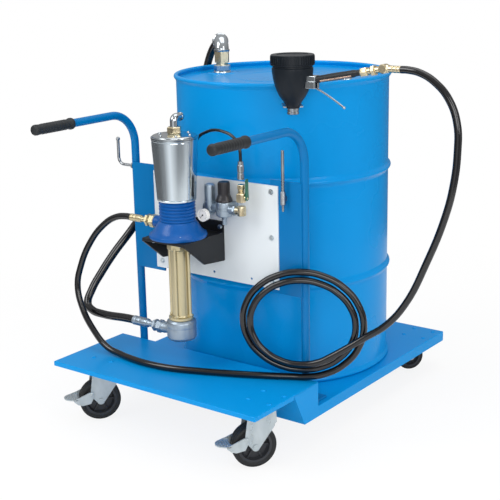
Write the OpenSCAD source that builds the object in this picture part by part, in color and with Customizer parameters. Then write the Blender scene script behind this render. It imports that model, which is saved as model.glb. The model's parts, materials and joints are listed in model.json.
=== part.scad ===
// Drum trolley with an air-operated transfer pump on a panel, suction and delivery
// hoses and a control gun. The origin is the centre of the footprint on the floor,
// +X runs to the right of someone at the handles and +Y away from them.

/* [Trolley] */
// How much wider the deck is than the drum's rim
side_room = 76; // [60:1:120]
// Depth of the raised deck, front edge to rear edge
deck_d = 265; // [250:1:300]
// Length of the low floor behind the drum's rim
floor_tail = 73; // [60:1:120]
// Height of the top of the raised deck
deck_top = 170; // [165:1:175]
// Height of the top of the low floor
floor_top = 105; // [102:1:112]
// Thickness of the folded sheet
sheet = 3; // [2:0.5:4]
// Height of the lip folded down around the deck
lip_h = 12; // [8:1:14]
// Height of the flange folded down around the low floor
flange_h = 28; // [20:1:28]
// Width of the cross beam at its foot
beam_foot = 60; // [50:1:62]
// Width of the cross beam where it meets the deck
beam_head = 105; // [90:1:115]

/* [Casters] */
// Radius of a front wheel
front_wheel_r = 55; // [50:1:57]
// Width of a front tyre
front_tyre_w = 36; // [30:1:40]
// Trail of a front wheel behind its swivel
front_trail = 35; // [30:1:36]
// Radius of a rear wheel
rear_wheel_r = 40; // [36:1:41]
// Width of a rear tyre
rear_tyre_w = 28; // [24:1:32]
// Trail of a rear wheel behind its swivel
rear_trail = 30; // [26:1:32]
// Way the casters trail at rest, degrees from +X
trail_angle = 232; // [225:1:240]
// Inset of the front left swivel from the left edge
inset_left = 100; // [88:1:120]
// Inset of the front right swivel from the right edge
inset_right = 48; // [46:1:60]
// Inset of the rear swivels from the sides
inset_rear = 54; // [54:1:70]
// Clearance between the front caster plates and the cross beam
front_gap = 6; // [6:1:12]
// Distance of the rear swivels from the rear edge
inset_back = 54; // [54:1:70]
// Thickness of a caster's mounting plate
plate_t = 4; // [3:0.5:5]
// Thickness of a fork leg
leg_t = 3; // [2:0.5:4]
// Gap between a tyre and a fork leg
wheel_gap = 3; // [2:0.5:4]
// Radius of the axle bolts
axle_r = 5; // [4:0.5:6]

/* [Drum] */
// Distance of the drum's rim from the left edge
drum_side = 53; // [40:1:60]
// Clearance between the drum's rim and the step
drum_gap = 18; // [17:1:30]
// Radius of the drum's body
drum_r = 286; // [280:1:287]
// Height of the drum
drum_h = 787; // [760:1:890]
// Wall of the drum
drum_wall = 1.5; // [1:0.5:2]
// How far a rolling hoop stands out
hoop_out = 7; // [5:0.5:8]
// Height of the lower hoop above the drum's foot
hoop_low = 263; // [240:1:290]
// Height of the upper hoop above the drum's foot
hoop_high = 535; // [500:1:590]
// How far the seamed rim stands out
rim_out = 6; // [5:0.5:7]
// Height of the seamed rim
rim_h = 12; // [8:1:16]
// Depth of the head below the rim
head_drop = 15; // [10:1:20]
// Distance of the two bungs from the drum's wall
bung_edge = 81; // [70:1:95]

/* [Handles] */
// Diameter of the handle tube
tube_d = 21; // [20:0.5:26]
// Wall of the handle tube
tube_wall = 2; // [1.5:0.5:3]
// Distance of each column inside the drum's side
column_in = 14.5; // [0:0.5:20]
// Height of the handles' centre line
handle_z = 800; // [770:1:950]
// Bend radius of the handle tube
bend_r = 85; // [60:1:95]
// Reach of a handle from its column to the end of its grip
handle_reach = 355.8; // [300:0.1:400]
// Length of a grip
grip_l = 128; // [110:1:150]
// Wall of a grip over the tube
grip_wall = 2; // [1.5:0.5:4]

/* [Panel] */
// Distance of the panel's right edge from the right column
panel_off = 67; // [60:1:75]
// Height of the panel
panel_h = 263; // [240:1:270]
// Height of the panel's lower edge
panel_z = 391; // [385:1:400]
// Thickness of the panel
panel_t = 3; // [2:0.5:4]
// Distance of the panel's left edge from the left column
panel_in = 76; // [60:1:80]
// Thickness of the straps that carry the panel
strap_t = 5; // [4:0.5:6]
// Radius of the two free holes for accessories
spare_hole_r = 3.5; // [3:0.5:5]
// Spacing of the two free holes
spare_hole_gap = 120; // [80:1:140]

/* [Pump] */
// Distance of the pump's axis in front of the step
pump_front = 105; // [100:1:120]
// Distance of the pump's axis left of the drum's axis
pump_left = 33; // [10:1:60]
// Height of the shelf that the pump's flange sits on
shelf_z = 518; // [505:1:525]
// Radius of the pump's mounting flange
pump_flange_r = 73; // [68:1:73]
// Radius of the casting above the flange
casting_r = 46; // [42:1:48]
// Height of the casting above the shelf
casting_h = 94; // [88:1:100]
// Radius of the air motor at its foot
motor_foot_r = 49; // [48:1:52]
// Radius of the air motor at its top
motor_top_r = 58; // [54:1:60]
// Height of the air motor's cylinder
motor_h = 155; // [140:1:160]
// Bore of the air motor, radius
motor_bore_r = 44; // [42:1:45]
// Height of the motor's rounded cap
cap_h = 12; // [10:1:24]
// Outer radius of the pump tube
barrel_r = 25; // [23:1:26]
// Bore of the pump tube, radius
barrel_bore_r = 20; // [18:0.5:21]
// Length of the pump tube below the shelf
barrel_l = 216; // [195:1:220]
// Radius of the foot valve's body
foot_r = 38; // [36:1:40]
// Height of the foot valve's body
foot_h = 54; // [50:1:60]
// Radius of the piston rod
rod_r = 8; // [6:0.5:10]
// Stroke of the pump
stroke = 75; // [60:1:80]
// Radius of the foot valve's ball
ball_r = 9; // [8:0.5:10]
// Lift of the foot valve's ball
ball_lift = 5; // [3:0.5:6]

/* [Air unit] */
// Distance of the air unit's axis in front of the panel
air_out = 32; // [30:1:40]
// Distance of the regulator's axis right of the drum's axis
air_right = 64; // [60:1:90]
// Height of the regulator's middle
air_z = 588; // [580:1:600]
// Radius of the regulator's body
reg_r = 21; // [18:1:23]
// Radius of the pressure gauge
gauge_r = 16; // [14:1:18]
// Radius of the regulator's knob
knob_r = 15; // [12:1:17]
// Height of the regulator's knob
knob_h = 50; // [40:1:55]

/* [Gun] */
// Offset of the bell from the drum's axis to the right
bell_dx = 222; // [215:1:228]
// Gap between the drum's rim and the bell's cap
bell_gap = 6.4; // [5:0.1:12]
// Length of the gun from the bell's axis to the hose
gun_len = 293; // [280:1:300]
// Height of the bell's top above the drum's rim
bell_up = 76; // [70:1:80]
// Height of the ribbed cap
bell_cap_h = 26; // [20:1:30]
// Height of the bell below its cap
bell_h = 102; // [95:1:110]
// Radius of the ribbed cap
bell_cap_r = 53.5; // [53:0.5:54.5]
// Radius of the bell under the cap
bell_r = 50.5; // [49:0.5:51]
// Radius of the bell's neck
neck_r = 16; // [14:1:18]
// Height of the chrome tip
tip_h = 15; // [12:1:18]
// Bore of the chrome tip, radius
tip_bore_r = 8; // [6:0.5:10]
// Height of the hose end above the drum's rim
gun_end_up = 53; // [50:1:56]

/* [Hoses] */
// Diameter of the delivery hose
delivery_d = 17; // [15:0.5:18]
// Diameter of the suction hose
suction_d = 22; // [20:0.5:23]
// Diameter of the air hose
air_d = 8; // [6:0.5:9]
// Turns of the coil that stands on the deck
coil_turns = 2.11; // [2.05:0.01:2.2]
// Half width of the coil, along its outer turn's centre line
coil_a = 160; // [150:1:170]
// Half height of the coil, along its outer turn's centre line
coil_b = 141; // [130:1:150]
// Step from one turn of the coil to the next
coil_step = 20; // [19.5:0.5:22]

/* [Hidden] */
$fn = 48;

// Small values shared by all pieces: an overrun for cuts, the gap of a running fit
// and the gap where a piece is seated
cut = 1;
run = 0.05;
seat = 0.3;
thick_cut = 2 * cut;

// Sizes that follow from the drum
rim_r = drum_r + rim_out;
deck_w = 2 * rim_r + side_room;
floor_d = drum_gap + 2 * rim_r + floor_tail;
drum_inset = drum_side + rim_r;
bung_ring = drum_r - bung_edge;
column_out = drum_r - column_in;
panel_w = 2 * column_out - panel_in - panel_off;
bell_out = rim_r + bell_gap + bell_cap_r;
bell_dy = sqrt(bell_out * bell_out - bell_dx * bell_dx);

// Places along X and Y, from the footprint's centre
total_x = drum_inset + bell_dx + gun_len;
total_y = floor_d + handle_reach - tube_d / 2 - seat;
left = -total_x / 2;
right = left + deck_w;
rear = total_y / 2;
step_y = rear - floor_d;
front = step_y - deck_d;
drum_x = left + drum_inset;
drum_y = step_y + drum_gap + rim_r;
tube_r = tube_d / 2;
column_y = step_y + tube_r + seat;
strap_y = column_y - tube_r - strap_t + cut;
panel_y = strap_y - panel_t;
panel_x = drum_x - column_out + panel_in;
pump_x = drum_x - pump_left;
pump_y = step_y - pump_front;
gun_x = drum_x + bell_dx;
gun_y = drum_y - bell_dy;

// Deck and floor
module front_deck() {
    side_run = deck_d - beam_head;
    color("dodgerblue") difference() {
        union() {
            translate([left, front, deck_top - sheet]) cube([deck_w, deck_d, sheet]);
            translate([left, front, deck_top - lip_h]) cube([deck_w, sheet, lip_h]);
            for (x = [left, right - sheet])
                translate([x, front, deck_top - lip_h]) cube([sheet, side_run, lip_h]);
        }
        for (p = front_swivels) plate_holes(p, deck_top - sheet);
    }
}

// The beam's section, drawn in Y and Z: an upright rear wall and a slanted front wall
module beam_section(skin) {
    top = deck_top - sheet;
    foot = floor_top - flange_h;
    slant = (beam_head - beam_foot) * skin / (top - foot);
    polygon([
        [step_y - skin, foot + skin],
        [step_y - beam_foot + skin - slant, foot + skin],
        [step_y - beam_head + skin, top],
        [step_y - skin, top]]);
}

module along_x(from, length) {
    translate([from, 0, 0]) rotate([90, 0, 90]) linear_extrude(length) children();
}

module cross_beam() {
    color("dodgerblue") difference() {
        along_x(left, deck_w) beam_section(0);
        along_x(left + sheet, deck_w - 2 * sheet) beam_section(sheet);
    }
}

module low_floor() {
    z = floor_top - flange_h;
    color("dodgerblue") difference() {
        union() {
            translate([left, step_y, floor_top - sheet]) cube([deck_w, floor_d, sheet]);
            for (x = [left, right - sheet]) translate([x, step_y, z]) cube([sheet, floor_d, flange_h]);
            translate([left, rear - sheet, z]) cube([deck_w, sheet, flange_h]);
        }
        for (p = rear_swivels) plate_holes(p, floor_top - sheet);
    }
}

// Casters
plate_size = [84, 84];
front_swivel_y = step_y - beam_head - front_gap - plate_size[1] / 2;
front_swivels = [[left + inset_left, front_swivel_y], [right - inset_right, front_swivel_y]];
rear_swivels = [[left + inset_rear, rear - inset_back], [right - inset_rear, rear - inset_back]];
plate_hole_gap = 62;
plate_hole_r = 4.2;
bolt_r = 4;
bolt_head_r = 6.5;
bolt_head_h = 5;
pin_r = 6;
front_size = [front_wheel_r, front_tyre_w, front_trail, deck_top - sheet];
rear_size = [rear_wheel_r, rear_tyre_w, rear_trail, floor_top - sheet];
head_r = 27;
head_h = 12;
hub_r = 12;
tyre_t_share = 0.22;
pivot_ahead = 24;
pivot_up = 22;
pivot_r = 3;
pedal_reach = 95;
pedal_tip = 23;
pedal_drop = 12;
pedal_t = 3;
pedal_mid_share = 0.3;

module at_plate(p) { translate([p[0], p[1], 0]) children(); }

module plate_holes(p, z) {
    for (x = [-0.5, 0.5], y = [-0.5, 0.5])
        translate([p[0] + x * plate_hole_gap, p[1] + y * plate_hole_gap, z - cut])
            cylinder(r = plate_hole_r, h = sheet + plate_t + thick_cut);
}

module caster_plate(p, size) {
    z = size[3] - plate_t;
    difference() {
        union() {
            translate([p[0] - plate_size[0] / 2, p[1] - plate_size[1] / 2, z])
                cube([plate_size[0], plate_size[1], plate_t]);
            translate([p[0], p[1], z - head_h]) cylinder(r = pin_r, h = head_h);
        }
        plate_holes(p, z);
    }
}

module caster_plates() {
    color("silver") {
        for (p = front_swivels) caster_plate(p, front_size);
        for (p = rear_swivels) caster_plate(p, rear_size);
    }
}

// Bolts through a caster plate and the sheet above it, with heads on top and nuts below
module plate_bolts(p, size) {
    for (x = [-0.5, 0.5], y = [-0.5, 0.5])
        translate([p[0] + x * plate_hole_gap, p[1] + y * plate_hole_gap, 0]) {
            translate([0, 0, size[3] - plate_t]) cylinder(r = bolt_r, h = plate_t + sheet);
            translate([0, 0, size[3] + sheet]) cylinder(r = bolt_head_r, h = bolt_head_h / 2);
            translate([0, 0, size[3] - plate_t - bolt_head_h])
                cylinder(r = bolt_head_r, h = bolt_head_h, $fn = 6);
        }
}

module caster_bolts() {
    color("silver") {
        for (p = front_swivels) plate_bolts(p, front_size);
        for (p = rear_swivels) plate_bolts(p, rear_size);
    }
}

// A fork, drawn with its swivel at zero and its trail along +X
module fork(p, size, braked) {
    r = size[0];
    inner = size[1] / 2 + wheel_gap;
    head_top = size[3] - plate_t - seat;
    yoke_z = head_top - head_h - leg_t;
    color("gainsboro") translate([p[0], p[1], 0]) rotate([0, 0, trail_angle]) difference() {
        union() {
            translate([0, 0, yoke_z]) cylinder(r = head_r, h = head_h + leg_t);
            translate([-head_r * 0.6, -inner - leg_t, yoke_z])
                cube([head_r * 0.6 + size[2], 2 * (inner + leg_t), leg_t]);
            for (side = [-1, 1]) translate([0, side * (inner + leg_t / 2) + leg_t / 2, 0])
                rotate([90, 0, 0]) linear_extrude(leg_t) fork_leg(size, yoke_z + leg_t);
            rotate([90, 0, 0]) translate([size[2], r, -inner - leg_t])
                cylinder(r = axle_r, h = 2 * (inner + leg_t));
            for (side = [-1, 1]) translate([size[2], side * (inner + leg_t + leg_t / 2), r])
                rotate([90, 0, 0]) cylinder(r = axle_r * 1.7, h = leg_t, center = true, $fn = 6);
            if (braked) for (side = [-1, 1])
                translate([size[2] + pivot_ahead, side * (inner + leg_t + pedal_t / 2 + seat / 2), r + pivot_up])
                    rotate([90, 0, 0]) cylinder(r = pivot_r, h = pedal_t + seat, center = true);
        }
        translate([0, 0, head_top - head_h]) cylinder(r = pin_r + run, h = head_h + cut);
    }
}

module fork_leg(size, top) {
    hull() {
        translate([size[2], size[0]]) circle(r = axle_r * 2);
        translate([-head_r * 0.6, top - leg_t]) square([head_r * 0.6 + size[2] + pivot_ahead / 4, leg_t]);
        translate([size[2] + pivot_ahead, min(size[0] + pivot_up, top - leg_t - pivot_r * 2)])
            circle(r = pivot_r * 1.6);
    }
}

module in_wheel(p, size) {
    translate([p[0], p[1], 0]) rotate([0, 0, trail_angle]) translate([size[2], 0, size[0]])
        rotate([90, 0, 0]) children();
}

module wheel_core(p, size) {
    w = size[1] + wheel_gap;
    core_r = size[0] * (1 - tyre_t_share);
    color("dimgray") in_wheel(p, size) difference() {
        union() {
            cylinder(r = core_r, h = size[1] * 0.3, center = true);
            difference() {
                cylinder(r = core_r, h = size[1] * 0.9, center = true);
                cylinder(r = core_r * 0.86, h = size[1], center = true);
            }
            cylinder(r = hub_r, h = w, center = true);
        }
        cylinder(r = axle_r + run, h = w + thick_cut, center = true);
    }
}

module wheel_tyre(p, size) {
    r = size[0];
    w = size[1] / 2;
    core_r = r * (1 - tyre_t_share);
    edge = w * 0.3;
    color("black") in_wheel(p, size) rotate_extrude() polygon([
        [core_r, -w * 0.9], [core_r, w * 0.9], [r - edge, w], [r - edge * 0.3, w - edge * 0.4],
        [r, w - edge * 1.2], [r, edge * 1.2 - w], [r - edge * 0.3, edge * 0.4 - w], [r - edge, -w]]);
}

// A brake pedal: two arms outside the fork legs and a tread plate past the tyre
module pedal(p, size) {
    r = size[0];
    inner = size[1] / 2 + wheel_gap + leg_t + seat;
    near = size[2] + r + wheel_gap * 2;
    far = size[2] + pedal_reach;
    mid = near + (far - near) * pedal_mid_share;
    z = r + pivot_up * 0.4;
    color("gainsboro") translate([p[0], p[1], 0]) rotate([0, 0, trail_angle]) difference() {
        union() {
            for (side = [-1, 1]) translate([0, side * (inner + pedal_t / 2) + pedal_t / 2, 0])
                rotate([90, 0, 0]) linear_extrude(pedal_t) polygon([
                    [size[2] + pivot_ahead - pivot_r * 2, r + pivot_up + pivot_r * 2],
                    [size[2] + pivot_ahead - pivot_r * 2, r + pivot_up - pivot_r * 2.4],
                    [size[2] + pivot_ahead + pivot_r, z - pedal_drop], [near - pedal_drop, z - pedal_drop * 1.3],
                    [near, z - pedal_drop], [mid, z - pedal_t], [mid, z + pedal_t], [near, z + pedal_t * 2],
                    [size[2] + pivot_ahead + pivot_r * 2, r + pivot_up + pivot_r * 2]]);
            translate([0, 0, z]) linear_extrude(pedal_t) polygon(concat(
                [[near, -inner - pedal_t], [mid, -inner - pedal_t]],
                [for (a = [-90:15:90]) [far - pedal_tip * (1 - cos(a)), pedal_tip * sin(a)]],
                [[mid, inner + pedal_t], [near, inner + pedal_t]]));
        }
        translate([size[2] + pivot_ahead, 0, r + pivot_up]) rotate([90, 0, 0])
            cylinder(r = pivot_r + run, h = 3 * (inner + pedal_t), center = true);
    }
}

module front_left_fork() { fork(front_swivels[0], front_size, true); }
module front_left_wheel() { wheel_core(front_swivels[0], front_size); }
module front_left_tyre() { wheel_tyre(front_swivels[0], front_size); }
module front_left_pedal() { pedal(front_swivels[0], front_size); }
module front_right_fork() { fork(front_swivels[1], front_size, true); }
module front_right_wheel() { wheel_core(front_swivels[1], front_size); }
module front_right_tyre() { wheel_tyre(front_swivels[1], front_size); }
module front_right_pedal() { pedal(front_swivels[1], front_size); }
module rear_left_fork() { fork(rear_swivels[0], rear_size, false); }
module rear_left_wheel() { wheel_core(rear_swivels[0], rear_size); }
module rear_left_tyre() { wheel_tyre(rear_swivels[0], rear_size); }
module rear_right_fork() { fork(rear_swivels[1], rear_size, false); }
module rear_right_wheel() { wheel_core(rear_swivels[1], rear_size); }
module rear_right_tyre() { wheel_tyre(rear_swivels[1], rear_size); }

// Drum
rim_z = floor_top + drum_h;
head_z = rim_z - head_drop;
bung_xy = [[-bung_ring, 0], [bung_ring, 0]];
bung_r = 25;
small_bung_r = 13;
nut_h = 22;
suction_hex_h = 30;
pipe_r = 16;
elbow_bend_r = 26;
elbow_r = 20;
elbow_bore_r = 10.2;
elbow_up = 70;
elbow_z = rim_z + elbow_up;
elbow_reach = 31;
elbow_turn = 45;

module at_drum(z) { translate([drum_x, drum_y, z]) children(); }

// Half section of the body, with its two rolling hoops, foot seam and rim seam
function hoop_points(z, r) = [for (a = [0:30:180]) [r + hoop_out * sin(a), z - hoop_out * 2 * cos(a)]];

module drum_shell() {
    outer = concat([[rim_r - rim_h / 2, 0], [rim_r, 0], [rim_r, rim_h], [drum_r, rim_h + hoop_out]],
        hoop_points(hoop_low, drum_r), hoop_points(hoop_high, drum_r),
        [[drum_r, drum_h - rim_h - hoop_out], [rim_r, drum_h - rim_h], [rim_r, drum_h]]);
    inner = [
        [drum_r - drum_wall, drum_h], [drum_r - drum_wall, head_drop + drum_wall],
        [0, head_drop + drum_wall], [0, head_drop], [rim_r - rim_h / 2, head_drop]];
    color("deepskyblue") at_drum(floor_top) rotate_extrude($fn = 96)
        polygon(concat(outer, inner));
}

module drum_head() {
    r = drum_r - drum_wall - run;
    color("deepskyblue") at_drum(head_z - drum_wall) difference() {
        cylinder(r = r, h = drum_wall, $fn = 96);
        translate([bung_xy[0][0], bung_xy[0][1], -cut]) cylinder(r = pipe_r + run, h = drum_wall + thick_cut);
        translate([bung_xy[1][0], bung_xy[1][1], -cut])
            cylinder(r = small_bung_r - bung_thread, h = drum_wall + thick_cut);
    }
}
bung_thread = 3;

module small_bung() {
    color("silver") at_drum(head_z) translate([bung_xy[1][0], bung_xy[1][1], 0]) difference() {
        union() {
            cylinder(r = small_bung_r, h = bung_thread * 2);
            translate([0, 0, -drum_wall * 3]) cylinder(r = small_bung_r - bung_thread - run, h = drum_wall * 3);
        }
        translate([0, 0, bung_thread]) cylinder(r = small_bung_r / 2, h = bung_thread * 2, $fn = 6);
    }
}

// The nut that holds the suction pipe in the large bung
module bung_nut() {
    color("silver") at_drum(head_z) translate([bung_xy[0][0], bung_xy[0][1], 0]) difference() {
        union() {
            cylinder(r = bung_r, h = nut_h * 0.25);
            translate([0, 0, nut_h * 0.25]) cylinder(r = bung_r * 0.95, h = nut_h * 0.75, $fn = 8);
        }
        translate([0, 0, -cut]) cylinder(r = pipe_r + run, h = nut_h + thick_cut);
    }
}

module suction_pipe() {
    top = elbow_z - elbow_bend_r - head_z;
    low = floor_top + head_drop * 3 - head_z;
    color("goldenrod") at_drum(head_z) translate([bung_xy[0][0], bung_xy[0][1], 0]) difference() {
        union() {
            translate([0, 0, low]) cylinder(r = pipe_r, h = top - low);
            translate([0, 0, top - suction_hex_h]) cylinder(r = pipe_r * 1.35, h = suction_hex_h, $fn = 6);
        }
        translate([0, 0, low - cut]) cylinder(r = pipe_r - drum_wall * 2, h = top - low + thick_cut);
    }
}

module drum_elbow() {
    collar = elbow_reach - elbow_bend_r * 0.7;
    color("lightgray") translate([drum_x - bung_ring, drum_y, elbow_z]) rotate([0, 0, -elbow_turn]) difference() {
        union() {
            quarter_elbow(elbow_r);
            translate([-elbow_reach, 0, 0]) rotate([0, 90, 0]) cylinder(r = elbow_r * 1.12, h = collar);
        }
        translate([-elbow_reach - cut, 0, 0]) rotate([0, 90, 0]) cylinder(r = elbow_bore_r, h = collar);
    }
}

// A quarter bend from straight down, at zero, round to -X
module quarter_elbow(r) {
    translate([-elbow_bend_r, 0, -elbow_bend_r]) rotate([90, 0, 0])
        rotate_extrude(angle = 90) translate([elbow_bend_r, 0]) circle(r = r);
}

// Handles: a column on the low floor behind the step, a bend and a run to the front
module tube_path(x, r) {
    rise = handle_z - bend_r - floor_top;
    translate([x, column_y, floor_top]) cylinder(r = r, h = rise);
    translate([x, column_y - bend_r, handle_z - bend_r]) rotate([90, 0, 90])
        rotate_extrude(angle = 90) translate([bend_r, 0]) circle(r = r);
    translate([x, column_y - bend_r, handle_z]) rotate([90, 0, 0])
        cylinder(r = r, h = handle_reach - bend_r - grip_end_t);
}
grip_end_t = 4;
foot_plate = [60, 6];
strap_below = 10;
strap_more = 24;
strap_z = panel_z - strap_below;
strap_h = panel_h + strap_more;
strap_lap = 25;

module column(x, strap_x, strap_w) {
    color("steelblue") difference() {
        union() {
            tube_path(x, tube_r);
            translate([x - foot_plate[0] / 2, step_y, floor_top])
                cube([foot_plate[0], foot_plate[0], foot_plate[1]]);
            translate([strap_x, strap_y, strap_z]) cube([strap_w, strap_t, strap_h]);
        }
        tube_path(x, tube_r - tube_wall);
        for (row = bolt_rows, bx = bolt_columns)
            translate([bx, strap_y - cut, row]) rotate([-90, 0, 0]) cylinder(r = panel_bolt_r, h = strap_t + thick_cut);
    }
}

left_column_x = drum_x - column_out;
right_column_x = drum_x + column_out;
panel_right = panel_x + panel_w;
panel_bolt_r = 3;
panel_bolt_inset = 20;
bolt_columns = [panel_x + panel_bolt_inset, panel_right - panel_bolt_inset];
bolt_rows = [
    panel_z + panel_bolt_inset, panel_z + panel_h / 2, panel_z + panel_h - panel_bolt_inset * 0.8];

module left_column() { column(left_column_x, left_column_x, panel_in + strap_lap); }
module right_column() {
    column(right_column_x, panel_right - strap_lap, right_column_x - panel_right + strap_lap);
}

// A grip slides on the tube's end and closes it; ribbed, with a collar and a bulb end
module grip(x) {
    r = tube_r + grip_wall;
    rib = grip_wall * 0.35;
    ribs = 7;
    first = grip_l * 0.2;
    pitch = grip_l * 0.6 / ribs;
    ridges = [for (i = [0:ribs - 1], k = [0:3]) let (z = first + i * pitch)
        k == 0 ? [r, z] : k == 1 ? [r + rib, z + pitch * 0.2]
        : k == 2 ? [r + rib, z + pitch * 0.6] : [r, z + pitch * 0.8]];
    color("black") translate([x, column_y - handle_reach, handle_z]) rotate([-90, 0, 0]) difference() {
        rotate_extrude() polygon(concat(
            [[0, 0], [r * 0.8, 0], [r + rib * 2, grip_l * 0.05], [r, grip_l * 0.14]], ridges,
            [[r, grip_l * 0.9], [r + rib * 4, grip_l * 0.94], [r + rib * 4, grip_l], [0, grip_l]]));
        translate([0, 0, grip_end_t]) cylinder(r = tube_r, h = grip_l);
    }
}

module grips() {
    grip(left_column_x);
    grip(right_column_x);
}

// The bent rod beside the left column that a hose is hung on
hook_r = 4;
hook_out = 44;
hook_bend = 18;
hook_rise = 50;
hook_z = 655;
module hose_hook() {
    x = left_column_x;
    y = column_y;
    reach = tube_r + seat;
    color("dimgray") translate([x, y, hook_z]) {
        translate([-hook_out, 0, 0]) rotate([0, 90, 0]) cylinder(r = hook_r, h = hook_out - reach);
        translate([-reach - hook_r, 0, 0]) rotate([0, 90, 0]) cylinder(r = hook_r * 2, h = hook_r);
        translate([-hook_out, 0, hook_bend]) rotate([90, 0, 0]) rotate([0, 0, 180])
            rotate_extrude(angle = 90) translate([hook_bend, 0]) circle(r = hook_r);
        translate([-hook_out - hook_bend, 0, hook_bend]) cylinder(r = hook_r, h = hook_rise);
        translate([-hook_out - hook_bend, 0, hook_bend + hook_rise]) sphere(r = hook_r * 1.4);
    }
}

// Panel and its bolts
spare_hole_x = drum_x + spare_hole_gap / 2;
spare_hole_up = 16;
spare_hole_z = panel_z + spare_hole_up;
module panel() {
    color("whitesmoke") difference() {
        translate([panel_x, panel_y, panel_z]) cube([panel_w, panel_t, panel_h]);
        for (row = bolt_rows, bx = bolt_columns) panel_hole(bx, row, panel_bolt_r);
        for (side = [-0.5, 0.5])
            panel_hole(spare_hole_x + side * spare_hole_gap, spare_hole_z, spare_hole_r);
        for (p = bracket_bolts) panel_hole(p[0], p[1], panel_bolt_r);
        for (side = [-1, 1]) panel_hole(reg_x + side * pad_hole_gap, air_z, panel_bolt_r);
    }
}

module panel_hole(x, z, r) {
    translate([x, panel_y - cut, z]) rotate([-90, 0, 0]) cylinder(r = r, h = panel_t + thick_cut);
}

// A hex bolt along +Y: its head's seat at zero, then its shank
module panel_bolt(p, grip_length) {
    translate([p[0], p[1], p[2]]) rotate([-90, 0, 0]) {
        cylinder(r = panel_bolt_r - run, h = grip_length);
        translate([0, 0, -panel_bolt_r * 1.3]) cylinder(r = panel_bolt_r * 1.9, h = panel_bolt_r * 1.3, $fn = 6);
    }
}

bracket_half = 70;
bracket_t = 5;
bracket_drop = 75;
bracket_low = shelf_z - bracket_drop;
bracket_h = 103;
bracket_y = panel_y - bracket_t;
shelf_t = 8;
shelf_front = pump_y - pump_flange_r * 0.8;
bracket_bolts = [for (side = [-1, 1], up = [0.15, 0.85])
    [pump_x + side * (bracket_half - panel_bolt_inset * 0.7), bracket_low + up * bracket_h]];
flange_bolt_ring = 61;

module panel_bolts() {
    color("silver") {
        for (row = bolt_rows, bx = bolt_columns) panel_bolt([bx, panel_y, row], panel_t + strap_t);
        for (p = bracket_bolts) panel_bolt([p[0], bracket_y, p[1]], bracket_t + panel_t);
        for (side = [-1, 1]) translate([reg_x + side * pad_hole_gap, panel_y + panel_t, air_z])
            rotate([0, 0, 180]) panel_bolt([0, 0, 0], panel_t + pad_hole_l - cut);
        for (a = [45:90:315]) translate([pump_x, pump_y, shelf_z - shelf_t]) rotate([0, 0, a])
            translate([flange_bolt_ring, 0, 0]) {
                cylinder(r = panel_bolt_r - run, h = shelf_t + pump_flange_t);
                translate([0, 0, shelf_t + pump_flange_t])
                    cylinder(r = panel_bolt_r * 1.9, h = panel_bolt_r * 1.3, $fn = 6);
                translate([0, 0, -panel_bolt_r * 1.3])
                    cylinder(r = panel_bolt_r * 1.9, h = panel_bolt_r * 1.3, $fn = 6);
            }
    }
}

// Bracket: a back plate on the panel, a shelf under the pump's flange and two cheeks
pump_flange_t = 10;
module pump_bracket() {
    w = 2 * bracket_half;
    cheek_front = pump_y + barrel_r * 0.6;
    color("black") difference() {
        union() {
            translate([pump_x - bracket_half, bracket_y, bracket_low]) cube([w, bracket_t, bracket_h]);
            translate([pump_x - bracket_half, shelf_front, shelf_z - shelf_t])
                cube([w, bracket_y - shelf_front, shelf_t]);
            for (x = [pump_x - bracket_half, pump_x + bracket_half - bracket_t])
                along_x(x, bracket_t) polygon([
                    [bracket_y, bracket_low], [cheek_front, bracket_low + shelf_t],
                    [shelf_front, shelf_z - shelf_t], [bracket_y, shelf_z - shelf_t]]);
        }
        translate([pump_x, pump_y, shelf_z - shelf_t - cut])
            cylinder(r = barrel_r + seat, h = shelf_t + thick_cut);
        for (a = [45:90:315]) translate([pump_x, pump_y, shelf_z - shelf_t - cut]) rotate([0, 0, a])
            translate([flange_bolt_ring, 0, 0]) cylinder(r = panel_bolt_r, h = shelf_t + thick_cut);
        for (p = bracket_bolts)
            translate([p[0], bracket_y - cut, p[1]]) rotate([-90, 0, 0])
                cylinder(r = panel_bolt_r, h = bracket_t + thick_cut);
    }
}

// Spare spout in a clip on the right column's strap
spout_r = 4;
spout_l = 150;
spout_off = 22;
spout_out = 12;
spout_x = panel_right + spout_off;
spout_y = strap_y - spout_out;
spout_z = 596;
module spare_spout() {
    color("gray") translate([spout_x, spout_y, spout_z]) {
        translate([0, 0, 0]) cylinder(r = spout_r * 0.8, h = spout_r * 4);
        translate([0, 0, spout_r * 4]) cylinder(r = spout_r * 1.6, h = spout_r * 8, $fn = 12);
        translate([0, 0, spout_r * 12]) cylinder(r = spout_r, h = spout_l - spout_r * 12);
        translate([-spout_r, 0, spout_r * 6]) cube([2 * spout_r, strap_y - spout_y, spout_r * 3]);
    }
}

// Pump
casting_z = shelf_z + pump_flange_t;
casting_top = shelf_z + casting_h;
port_up = 30;
port_z = shelf_z + port_up;
port_r = 15;
port_bore_r = 8;
port_out = 26;
motor_top = casting_top + motor_h;
air_port_up = 108;
air_port_out = 20;
chamber_r = 18;
piston_t = 16;
piston_up = 14;
piston_z = casting_top + piston_up;
plunger_l = 30;
collar_h = 25.6;
barrel_z = shelf_z - barrel_l;
foot_z = barrel_z - foot_h;
inlet_up = 19;
inlet_z = foot_z + inlet_up;
ball_seat_r = 7;
ball_hole_up = 30;
ball_hole_z = foot_z + ball_hole_up;
ball_z = ball_hole_z + sqrt(ball_r * ball_r - ball_seat_r * ball_seat_r) + seat;
foot_bore_r = 14;

module at_pump(z) { translate([pump_x, pump_y, z]) children(); }

module toward_left(z, from, length) {
    translate([pump_x - from - length, pump_y, z]) rotate([0, 90, 0]) children();
}

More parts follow.
